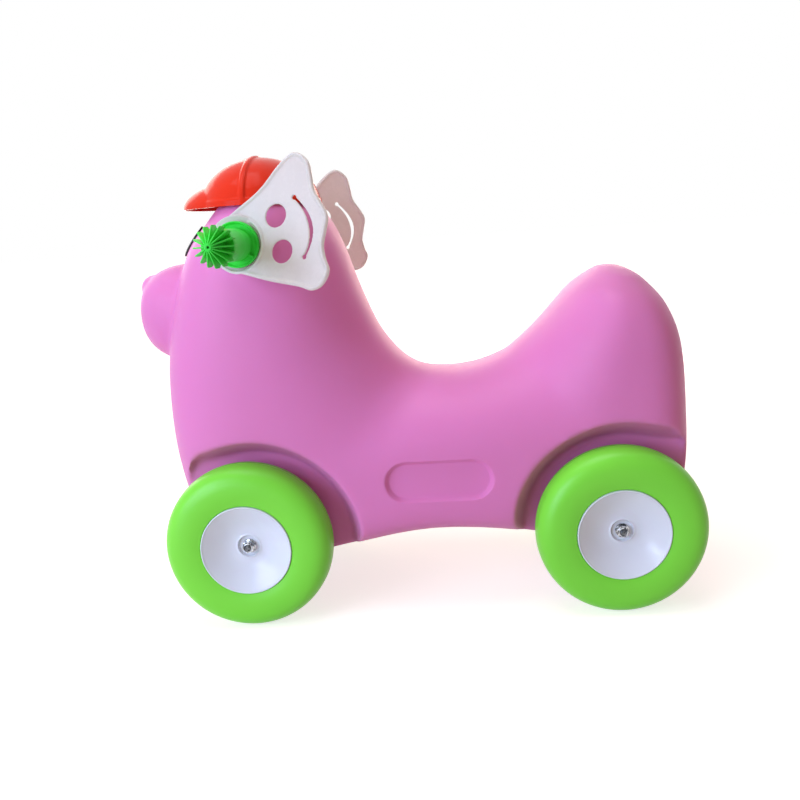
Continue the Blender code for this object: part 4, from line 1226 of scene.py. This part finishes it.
@dataclass
class Ear:
    """A white blade with a rounded rim, two eye holes and a smile slot, on a hollow round boss."""

    outline: tuple[Point, ...] = (
        (-0.0228, 0.0222), (0.0227, 0.0554), (0.0439, 0.0783), (0.0569, 0.0901), (0.0688, 0.0937),
        (0.0828, 0.0837), (0.0886, 0.0655), (0.0923, 0.0516), (0.1043, 0.0341), (0.1093, 0.0230),
        (0.1076, 0.0082), (0.1056, -0.0061), (0.1090, -0.0197), (0.1136, -0.0322), (0.1068, -0.0468),
        (0.0941, -0.0522), (0.0772, -0.0476), (0.0441, -0.0414), (0.0098, -0.0328), (-0.0138, -0.0264),
        (-0.0290, -0.0080),
    )
    holes: tuple[Point, ...] = ((0.0467, 0.0282), (0.0564, -0.0100))
    hole_radius: float = 0.0124
    smile: tuple[Point, ...] = ((0.0681, 0.0463), (0.0895, 0.0154), (0.0836, -0.0170))
    smile_half_width: float = 0.0022
    smile_least: float = 0.0012
    smile_end_radius: float = 0.0025
    web: float = 0.0023
    rim_width: float = 0.0045
    rim_height: float = 0.0064
    through: float = 0.01
    flare: float = math.radians(20.3)
    lean: float = math.radians(15.0)
    handle_at: Point = HANDLE_AT
    back_x: float = 0.1268
    seat_x: float = EAR_SEAT_X
    sink: float = 0.001
    boss_reach: float = 0.03
    cutter_reach: float = 0.06
    boss_radius: float = 0.031
    boss_wall: float = 0.0030
    floor: float = 0.003
    bar_radius: float = BAR_RADIUS

    def place(self) -> Matrix:
        """The left blade's place: local X back along it, local Y up it, local Z outward."""
        back = Vector((math.sin(self.flare), math.cos(self.flare), 0))
        out = Vector((math.cos(self.flare), -math.sin(self.flare), 0))
        up = Vector((0, 0, math.cos(self.lean))) - out * math.sin(self.lean)
        frame = Matrix((back, up, back.cross(up))).transposed().to_4x4()
        return Matrix.Translation(spot(self.seat_x - self.sink, *self.handle_at)) @ frame

    def slot(self) -> Piece:
        """The smile as a cutter: a crescent that is thickest in its middle."""
        start, middle, end = (Vector(p) for p in self.smile)
        bend = middle * 2 - (start + end) / 2
        upper, lower = [], []
        for i in range(25):
            t = i / 24
            place = start.lerp(bend, t).lerp(bend.lerp(end, t), t)
            along = (bend - start).lerp(end - bend, t).normalized()
            width = max(self.smile_half_width * math.sin(math.pi * t) ** 0.8, self.smile_least)
            across = Vector((-along.y, along.x)) * width
            upper.append(tuple(place + across))
            lower.append(tuple(place - across))
        return plate("smile_form", upper + list(reversed(lower)), -self.through, self.through)

    def blade(self) -> Piece:
        """The blade in its own plane: web, rim bead, holes and smile."""
        line = inset(curved(self.outline, 7), self.rim_width / 2)
        blade = plate("ear", line, -self.web / 2, self.web / 2)
        combine(blade, bead("rim", line, self.rim_width / 2, self.rim_height / 2))
        carve(blade, self.slot())
        round_holes = [(hole, self.hole_radius) for hole in self.holes]
        round_holes += [(end, self.smile_end_radius) for end in (self.smile[0], self.smile[-1])]
        for (u, v), radius in round_holes:
            hole = rod("hole", radius, -self.through, self.through, 48, "Z")
            hole.data.transform(Matrix.Translation((u, v, 0)))
            carve(blade, hole)
        return blade

    def cylinder(self, name: str, radius: float, low: float, high: float) -> Piece:
        """A cylinder on the handlebar's axis."""
        return put(rod(name, radius, low, high, 96), 0, *self.handle_at)

    def build(self) -> list[Piece]:
        """Both ears."""
        frame, face, inside = self.place(), self.seat_x, self.boss_radius - self.boss_wall
        ear = self.blade()
        ear.data.transform(frame)
        boss = self.cylinder("boss", self.boss_radius, self.back_x, face + self.boss_reach)
        over = block("over", (-FAR, -FAR, self.web / 2 + self.sink), (FAR, FAR, FAR))
        over.data.transform(frame)
        outward = block("outward", (face - self.sink / 2, -FAR, -FAR), (2 * FAR, FAR, FAR))
        carve(boss, combine(over, outward, "INTERSECT"))
        combine(ear, boss)
        cup = self.cylinder("cup", inside, face, face + self.cutter_reach)
        carve(ear, cup, self.cylinder("hollow", inside, 0.0, face - self.floor))
        soften(ear, by_speed(0.0009), by_speed(3))
        carve(ear, self.cylinder("bore", self.bar_radius, 0.0, face + self.cutter_reach))
        return pair(shade(ear, 50), "ear_blade", Finish.EAR, "ear")


# Hand grips


@dataclass
class HandGrip:
    """A green grip: dished flange with two gussets, smooth barrel and a finned, sloping end."""

    handle_at: Point = HANDLE_AT
    seat_x: float = EAR_SEAT_X + CLEARANCE
    length: float = 0.112
    radius: float = 0.0170
    flange_radius: float = 0.0246
    flange_thickness: float = 0.007
    valley: float = 0.0035
    lip: float = 0.0022
    fin_radius: float = 0.0210
    fin_count: int = 16
    fin_thickness: float = 0.0014
    fin_depth: float = 0.015
    fin_slope: float = 0.018
    fin_edge_share: float = 0.28
    core_radius: float = 0.0072
    tip_radius: float = 0.0040
    gusset_angle: float = math.radians(51)
    gusset_thickness: float = 0.0014
    gusset_root: float = 0.001
    gusset_edge: float = 0.0004
    gusset_count: int = 2
    tip_hole_radius: float = 0.0012
    tip_hole_depth: float = 0.006
    bar_radius: float = BAR_RADIUS
    bar_in_grip: float = 0.090
    nut_flats: float = 0.016
    nut_height: float = 0.008

    def barrel(self) -> Piece:
        """Flange, barrel and core, turned in one, with its bore and nut pocket."""
        end, radius, core = self.length, self.radius, self.core_radius
        tip = end - self.fin_slope
        shoulder = tip - self.fin_depth
        thick, valley = self.flange_thickness, self.valley
        flange, lip = self.flange_radius, self.flange_radius - self.lip
        nut = self.nut_flats / 2 / math.cos(math.pi / 6) + 2 * CLEARANCE
        nut_top = self.nut_height + CLEARANCE
        hole, hole_low = self.tip_hole_radius, end - self.tip_hole_depth
        profile = [
            # Nut pocket, bore and the small hole in the tip
            (nut, 0.0), (nut, nut_top), (self.bar_radius, nut_top), (self.bar_radius, self.bar_in_grip),
            (0.0, self.bar_in_grip), (0.0, hole_low), (hole, hole_low), (hole, end - 0.0006),
            # Rounded tip and the core between the fins
            (hole + 0.0006, end), (self.tip_radius - 0.0006, end - 0.0004),
            (self.tip_radius, end - 0.0014), (core - 0.0010, tip - 0.0010),
            (core, shoulder + 0.0020), (core + 0.0012, shoulder + 0.0006),
            # Rounded shoulder and the barrel, in even rings
            (radius - 0.0016, shoulder), (radius - 0.0005, shoulder - 0.0005),
            (radius, shoulder - 0.0016), (radius, shoulder - 0.0080), (radius, shoulder - 0.0095),
            *[(radius, shoulder - 0.0095 - 0.008 * i) for i in range(1, 6)], (radius, thick + 0.0058),
            # The flange's valley and its raised, rounded lip
            (radius, valley + 0.0016), (radius + 0.0005, valley + 0.0005), (radius + 0.0016, valley),
            (lip - 0.0010, valley + 0.0003), (lip, valley + 0.0012), (lip + 0.0004, thick - 0.0005),
            (lip + 0.0009, thick), (flange - 0.0007, thick), (flange, thick - 0.0007), (flange, 0.0006),
            (flange - 0.0006, 0.0),
        ]
        return turned("grip_form", profile, 96)

    def fin(self) -> Piece:
        """One fin: a thin plate from the core to the rim, with a sloping end and rounded edges."""
        end, tip, rim = self.length, self.length - self.fin_slope, self.fin_radius
        root, low = self.tip_radius - 0.0012, tip - self.fin_depth
        outline = [
            (root, end - 0.0008), (self.tip_radius + 0.0010, end - 0.0014), (rim - 0.0022, tip + 0.0012),
            (rim - 0.0006, tip - 0.0008), (rim, tip - 0.0030), (rim, low),
            (self.radius - 0.0006, low - 0.0065), (root, low - 0.0065),
        ]
        return self.rib("fin", outline, self.fin_thickness, self.fin_thickness * self.fin_edge_share)

    def rib(self, name: str, outline: Points, thickness: float, edge: float) -> Piece:
        """A thin plate that stands along the barrel, with rounded edges.

        Args:
            name: The piece's name.
            outline: Its (radius, z) points in order.
            thickness: How thick it is.
            edge: How far its edges are rounded.

        Returns:
            The plate.
        """
        rib = plate(name, outline, -thickness / 2, thickness / 2)
        rib.data.transform(Matrix.Rotation(math.pi / 2, 4, "X"))
        return modify(rib, "BEVEL", width=edge, segments=2, limit_method="ANGLE")

    def gusset(self) -> Piece:
        """One thin rib between the barrel and the flange's raised lip."""
        outer, inner = self.flange_radius - self.lip * 0.6, self.radius - self.gusset_root
        outline = [
            (inner, self.flange_thickness + 0.005), (outer, self.flange_thickness - 0.0004),
            (outer, self.gusset_root), (inner, self.gusset_root),
        ]
        return self.rib("gusset", outline, self.gusset_thickness, self.gusset_edge)

    def build(self) -> list[Piece]:
        """Both grips."""
        grip = self.barrel()
        for rib, count, start in (
            (self.fin(), self.fin_count, 0.0), (self.gusset(), self.gusset_count, self.gusset_angle)
        ):
            for i in range(count):
                turn = Matrix.Rotation(start + 2 * math.pi * i / count, 4, "Z")
                combine(grip, duplicate(rib, "rib_copy", turn))
            bpy.data.objects.remove(rib)
        shade(grip, 32)
        grip.data.transform(outboard(Side.LEFT, self.seat_x, *self.handle_at))
        return pair(grip, "hand_grip", Finish.GRIP, "grip")


# Wheels


@dataclass
class Wheel:
    """A blown green tyre on two white hub halves. Everything is turned about the axle."""

    middle_x: float = WHEEL_X
    radius: float = AXLE_Z
    width: float = WHEEL_WIDTH
    widest_radius: float = 0.072
    tread_power: float = 2.6
    seam_height: float = 0.00025
    seam_half: float = 0.0005
    seat_round: float = 0.0022
    rim_radius: float = 0.0535
    rim_drop: float = 0.003
    lip_step: float = 0.0015
    lip_width: float = 0.0016
    lip_round: float = 0.0004
    wall: float = 0.0025
    dish_wall: float = 0.0033
    dish_depth: float = 0.017
    inner_dish_depth: float = 0.012
    pocket_radius: float = 0.0130
    pocket_depth: float = 0.003
    inner_pocket_depth: float = 0.001
    collar: float = 0.0007
    bush_radius: float = AXLE_RADIUS + CLEARANCE + 0.0022
    steps: int = 160

    def tyre(self) -> Piece:
        """The tyre, with a fine mould seam round the middle of its tread."""
        half, widest, power = self.width / 2, self.widest_radius, 2 / self.tread_power
        rise, seam, bend = self.radius - widest, self.seam_height, self.seat_round
        seat, low = self.rim_radius + CLEARANCE, self.width / 2 - self.rim_drop
        upper = [(self.radius, 0.0), (self.radius - seam, self.seam_half)]
        # Tread, then the side wall, then the rounded edge at the hub's seat
        for i in range(1, 25):
            angle = math.pi / 2 * i / 24
            radius = widest + rise * math.cos(angle) ** power - seam
            upper.append((radius, half * math.sin(angle) ** power))
        for i in range(1, 9):
            share = i / 8
            radius = widest - (widest - seat - bend) * share
            upper.append((radius, half - (half - low) * 0.8 * share**2))
        for i in range(1, 5):
            angle = math.pi / 2 * i / 4
            z = low + (half - low) * 0.2 - bend * (1 - math.cos(angle))
            upper.append((seat + bend * (1 - math.sin(angle)), z))
        lower = [(radius, -z) for radius, z in reversed(upper[1:])]
        return turned("tyre_form", upper + lower, self.steps)

    def hub(self, depth: float, pocket: float) -> Piece:
        """Half of the hub: lip, round-bottomed dish, collar and pocket round the axle, barrel.

        Args:
            depth: How far the dish's floor lies under the lip.
            pocket: How far the pocket's floor lies under the dish's floor.

        Returns:
            The half, with its open side at z = 0.
        """
        gap, lip, rim = CLEARANCE / 2, self.width / 2 - self.lip_step, self.rim_radius
        floor, edge = lip - depth, rim - self.lip_width - self.lip_round
        bore, boss = self.bush_radius + CLEARANCE, self.pocket_radius + self.wall
        centre, collar, under = self.pocket_radius, self.collar, floor - self.dish_wall
        dish = []
        for i in range(25):
            share = i / 24
            radius = edge + (centre + 0.0024 - edge) * share
            dish.append((radius, lip - 0.0010 - (depth - 0.0010) * math.sin(math.pi / 2 * share)))
        top = [
            # Rounded lip and the dish
            (rim, gap), (rim, lip - 0.0007), (rim - 0.0002, lip - 0.0002), (rim - 0.0007, lip),
            (rim - self.lip_width + self.lip_round, lip), (rim - self.lip_width, lip - 0.0003), *dish,
            # Raised collar and the pocket's wall and floor
            (centre + 0.0017, floor + collar * 0.5), (centre + 0.0010, floor + collar),
            (centre + 0.0004, floor + collar * 0.9), (centre, floor + collar * 0.3),
            (centre - 0.0008, floor - pocket + 0.0006), (centre - 0.0014, floor - pocket),
            (bore, floor - pocket),
        ]
        inside = rim - self.wall
        back = [(min(radius, inside), z - self.dish_wall) for radius, z in reversed(dish)]
        profile = [*top, (bore, gap), (boss, gap), (boss, under), *back, (inside, gap)]
        return turned("hub_form", profile, self.steps)

    def build(self) -> list[Piece]:
        """All four wheels."""
        tyre = self.tyre()
        outer = self.hub(self.dish_depth, self.pocket_depth)
        inner = self.hub(self.inner_dish_depth, self.inner_pocket_depth)
        made = []
        for end in End:
            for side in Side:
                tag = f"{end.word}_{side.word}"
                outward = outboard(side, self.middle_x, end.value, 0)
                inward = outboard(Side(-side.value), -self.middle_x, end.value, 0)
                for pattern, name, place, finish, node in (
                    (tyre, "blown_tyre", outward, Finish.TYRE, "tyre"),
                    (outer, "outer_hub", outward, Finish.HUB, "hub_outer"),
                    (inner, "inner_hub", inward, Finish.HUB, "hub_inner"),
                ):
                    copy = duplicate(pattern, f"{name}_{tag}", place)
                    made.append(dress(copy, finish, f"wheel_{tag}", f"{node}_{tag}"))
        for used in (tyre, outer, inner):
            bpy.data.objects.remove(used)
        return made


@dataclass
class AxleSet:
    """A threaded steel axle with the bushes, washers and lock nuts on both its ends."""

    radius: float = AXLE_RADIUS
    proud: float = 0.003
    chamfer: float = 0.0012
    pitch: float = 0.00125
    thread_depth: float = 0.00045
    thread_length: float = 0.014
    washer_low: float = WHEEL_X + 0.006 + CLEARANCE
    washer_radius: float = 0.008
    washer_thickness: float = 0.0016
    nut_flats: float = 0.013
    nut_height: float = 0.008
    hex_height: float = 0.0056
    collar_radius: float = 0.0057
    bevel: float = 0.0002
    flange_in: float = ARCH_FLOOR_X + CLEARANCE
    flange_out: float = WHEEL_X - WHEEL_WIDTH / 2 + 0.0015 - CLEARANCE
    flange_radius: float = 0.0125
    bush_radius: float = 0.009
    bush_length: float = 0.026

    @property
    def nut_low(self) -> float:
        """Where the nut's inner face lies."""
        return self.washer_low + self.washer_thickness + CLEARANCE

    def rod(self, end: End) -> Piece:
        """The axle, with chamfered ends and a thread under each nut.

        Args:
            end: Which axle.

        Returns:
            The dressed axle in its place.
        """
        tip = self.nut_low + self.nut_height + self.proud
        root, pitch, z = self.radius - self.thread_depth, self.pitch, tip - self.chamfer
        half = [(0.0, tip), (root - 0.0011, tip), (root + 0.0001, z)]
        while z > tip - self.thread_length:
            half += [(self.radius, z - pitch * 0.30), (self.radius, z - pitch * 0.45)]
            half += [(root, z - pitch * 0.80), (root, z - pitch * 0.95)]
            z -= pitch
        half.append((self.radius, z - pitch))
        profile = half + [(radius, -z) for radius, z in reversed(half)]
        piece = turned(f"axle_rod_{end.word}", profile, 48)
        piece.data.transform(outboard(Side.LEFT, 0, end.value, 0))
        return dress(piece, Finish.AXLE, CHASSIS, f"{end.word}_axle")

    def nut(self) -> Piece:
        """A lock nut: a hexagon with chamfered corners under a rolled collar."""
        flat, top, bore = self.nut_flats / 2, self.hex_height, self.radius + 0.0006
        corner = flat / math.cos(math.pi / 6)
        outside = corner + self.bevel
        nut = rod("nut_form", corner, 0, top, 6, "Z")
        chamfer = [
            (0.0, 0.0), (flat, 0.0), (outside, 0.0006), (outside, top - 0.0007), (flat - 0.0001, top),
            (0.0, top),
        ]
        combine(nut, turned("chamfer", chamfer, 64), "INTERSECT")
        c, h, low = self.collar_radius, self.nut_height, top - 0.001
        collar = [
            (bore, low), (c, low), (c, h - 0.0013), (c - 0.00025, h - 0.0006), (c - 0.0008, h - 0.0001),
            (c - 0.0013, h), (c - 0.0016, h - 0.0003), (bore, h - 0.0005),
        ]
        combine(nut, turned("collar", collar, 64))
        carve(nut, rod("bore", self.radius + CLEARANCE, -0.01, 0.02, 48, "Z"))
        return shade(nut, 30)

    def ring(self) -> Piece:
        """The nylon ring inside the lock nut's collar."""
        low, high, bevel = self.hex_height - 0.0006, self.nut_height - 0.0004, self.bevel
        inner, outer = self.radius + 0.00012, self.collar_radius - 0.0013
        profile = [(inner, low), (inner, high - bevel), (inner + bevel, high), (outer - bevel, high)]
        return turned("ring_form", profile + [(outer, high - bevel), (outer, low)], 48)

    def washer(self) -> Piece:
        """A punched flat washer."""
        inner, outer = self.radius + CLEARANCE, self.washer_radius
        high, bevel = self.washer_thickness, self.bevel
        profile = [(inner, bevel), (inner, high - bevel), (inner + bevel, high), (outer - bevel, high)]
        profile += [(outer, high - bevel), (outer, bevel), (outer - bevel, 0.0), (inner + bevel, 0.0)]
        return turned("washer_form", profile, 64)

    def bush(self) -> Piece:
        """The flanged bush that the axle runs in, from the body's tunnel to the wheel."""
        inner, edge = self.radius + CLEARANCE, 0.0006
        out, low = self.flange_out, self.flange_in
        end = low - self.bush_length
        profile = [
            (inner, out), (self.flange_radius - edge, out), (self.flange_radius, out - edge),
            (self.flange_radius, low), (self.bush_radius, low), (self.bush_radius, end), (inner, end),
        ]
        return turned("bush_form", profile, 64)

    def build(self) -> list[Piece]:
        """Both axles with everything on them."""
        nut, ring, washer, bush = self.nut(), self.ring(), self.washer(), self.bush()
        made = []
        for end in End:
            made.append(self.rod(end))
            for side in Side:
                tag = f"{end.word}_{side.word}"
                # No two nuts stop at the same angle
                angle = math.radians(17 + 31 * end.value * side.value / WHEELBASE)
                under_nut = outboard(side, self.nut_low, end.value, 0)
                lock = duplicate(nut, f"lock_nut_{tag}", under_nut @ Matrix.Rotation(angle, 4, "Z"))
                made.append(dress(lock, Finish.ZINC, CHASSIS, f"axle_nut_{tag}"))
                lock_ring = duplicate(ring, f"lock_ring_{tag}", under_nut)
                made.append(dress(lock_ring, Finish.LOCK_RING, CHASSIS))
                under_washer = outboard(side, self.washer_low, end.value, 0)
                flat = duplicate(washer, f"flat_washer_{tag}", under_washer)
                made.append(dress(flat, Finish.ZINC, CHASSIS, f"washer_{tag}"))
                middle = outboard(side, 0, end.value, 0)
                sleeve = duplicate(bush, f"flanged_bush_{tag}", middle)
                made.append(dress(sleeve, Finish.NYLON, CHASSIS, f"axle_bush_{tag}"))
        for used in (nut, ring, washer, bush):
            bpy.data.objects.remove(used)
        return made


# Studio


@dataclass(frozen=True)
class Lamp:
    """A soft square lamp that is turned to the toy's middle: its place, edge, watts and colour."""

    place: Triple
    size: float
    power: float
    tint: str
    aim: Triple = (0.0, 0.0, 0.28)

    def build(self) -> None:
        """Hangs the lamp."""
        turn = (Vector(self.aim) - Vector(self.place)).to_track_quat("-Z", "Y").to_euler()
        bpy.ops.object.light_add(type="AREA", location=self.place, rotation=turn)
        light = bpy.context.active_object.data
        light.shape = "SQUARE"
        light.size = self.size
        light.energy = self.power
        light.color = linear(self.tint)[:3]


@dataclass
class Studio:
    """A pale floor that runs into a white surround, soft lamps and the camera."""

    eye: Triple = (1.075, 0.2619, 0.4571)
    yaw: float = math.radians(3.28)
    pitch: float = math.radians(12.80)
    roll: float = math.radians(-3.54)
    focal_pixels: float = 851.5
    centre_pixels: Point = (416.9, 419.0)
    picture: float = 800.0
    sensor: float = 36.0
    world_strength: float = 0.30
    world_tint: str = "#FFD9C2"
    floor_size: float = 60.0
    floor_glow: float = 0.68
    shadow_reach: float = 0.5
    white_from: float = 2.2
    floor_colour: str = "#DED6CC"
    lamps: tuple[Lamp, ...] = (
        # Two cool lamps ahead of the toy on its left, the second one low, for the wheels' dishes
        Lamp((1.5, -1.6, 0.95), 1.2, 33.0, "#CADCFF"),
        Lamp((2.0, -1.2, 0.35), 0.6, 9.0, "#CADCFF"),
        # Overhead, for the saddle, the cap and the shadow under the toy
        Lamp((0.2, -0.3, 2.3), 1.4, 23.0, "#F4F6FF"),
        # Two warm ones on the far side, for the ears' thin blades and the edges of chest and hump
        Lamp((-1.8, 0.2, 0.42), 1.2, 14.0, "#FFE0CC"),
        Lamp((-1.4, -1.1, 0.8), 1.1, 8.0, "#FFF1E8"),
    )

    def camera(self) -> None:
        """The camera, as it stood for the photograph."""
        flat = math.cos(self.pitch)
        ahead = Vector((-flat * math.cos(self.yaw), -flat * math.sin(self.yaw), -math.sin(self.pitch)))
        level = ahead.cross(Vector((0, 0, 1))).normalized()
        above = level.cross(ahead)
        right = level * math.cos(self.roll) + above * math.sin(self.roll)
        up = above * math.cos(self.roll) - level * math.sin(self.roll)
        bpy.ops.object.camera_add()
        camera = bpy.context.active_object
        matrix = Matrix((right, up, -ahead)).transposed().to_4x4()
        matrix.translation = Vector(self.eye) + Vector((0, FRONT_AXLE_Y, 0))
        camera.matrix_world = matrix
        camera.data.sensor_width = self.sensor
        camera.data.lens = self.sensor * self.focal_pixels / self.picture
        camera.data.shift_x = (self.picture / 2 - self.centre_pixels[0]) / self.picture
        camera.data.shift_y = (self.centre_pixels[1] - self.picture / 2) / self.picture
        bpy.context.scene.camera = camera

    def seen(self, shader: Shader) -> Socket:
        """1 where the camera sees a surface straight or in a gloss or through glass, otherwise 0."""
        path = shader.node("ShaderNodeLightPath").outputs
        sight = shader.maths("MAXIMUM", path["Is Camera Ray"], path["Is Glossy Ray"])
        return shader.maths("MAXIMUM", sight, path["Is Transmission Ray"])

    def floor(self) -> None:
        """The floor: pale, with a glow of its own towards the camera, so that only shadows show."""
        clear_selection()
        bpy.ops.mesh.primitive_grid_add(x_subdivisions=8, y_subdivisions=8, size=self.floor_size)
        floor = fresh("floor")
        material = bpy.data.materials.new("pale_floor")
        shader = Shader(material)
        away = shader.node("ShaderNodeVectorMath", {"operation": "LENGTH"}, {0: shader.place()})
        reach = (self.shadow_reach, self.white_from)
        near = shader.ranged(away.outputs["Value"], reach, (self.floor_glow, 1.0))
        glow = shader.maths("MULTIPLY", self.seen(shader), near)
        white = {"Color": linear("#FFFFFF"), "Strength": glow}
        light = shader.node("ShaderNodeEmission", inputs=white).outputs[0]
        matt = shader.node("ShaderNodeBsdfDiffuse", inputs={"Color": linear(self.floor_colour)})
        shader.show(shader.node("ShaderNodeAddShader", inputs={0: matt.outputs[0], 1: light}).outputs[0])
        floor.data.materials.append(material)

    def surround(self) -> None:
        """The world: white to the eye, and a plain soft light on the toy."""
        world = bpy.data.worlds.new("surround")
        shader = Shader(world)
        seen = self.seen(shader)
        strength = shader.ranged(seen, (0.0, 1.0), (self.world_strength, 1.0))
        inputs = {"Color": shader.blended(seen, self.world_tint, "#FFFFFF"), "Strength": strength}
        shader.show(shader.node("ShaderNodeBackground", inputs=inputs).outputs[0], "World")
        bpy.context.scene.world = world

    def build(self) -> None:
        """Sets up the whole studio."""
        self.camera()
        self.floor()
        self.surround()
        for lamp in self.lamps:
            lamp.build()
        bpy.context.scene.view_settings.view_transform = "Standard"


def refinish(nodes: dict[str, Piece]) -> None:
    """Gives the CAD nodes that still show their finish.

    Args:
        nodes: The frame's nodes by name.
    """
    finishes = {"handlebar": Finish.ZINC, "grip_nut": Finish.ZINC, "wheel_bush": Finish.NYLON}
    for name, node in nodes.items():
        for start, finish in finishes.items():
            if name.startswith(start):
                node.data.materials.clear()
                node.data.materials.append(finish.material)


def main() -> None:
    """Builds the toy's looks on its frame, piece by piece."""
    logging.basicConfig(level=logging.INFO, format="%(name)s %(message)s")
    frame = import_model()
    Studio().build()
    body = MouldedBody().build()
    for side in Side:
        EyeButton().build(side, body)
    PeakedCap().build()
    Ear().build()
    HandGrip().build()
    Wheel().build()
    AxleSet().build()
    refinish(frame["nodes"])
    LOG.info("materials: %d", len(bpy.data.materials))


if __name__ == "__main__":
    main()
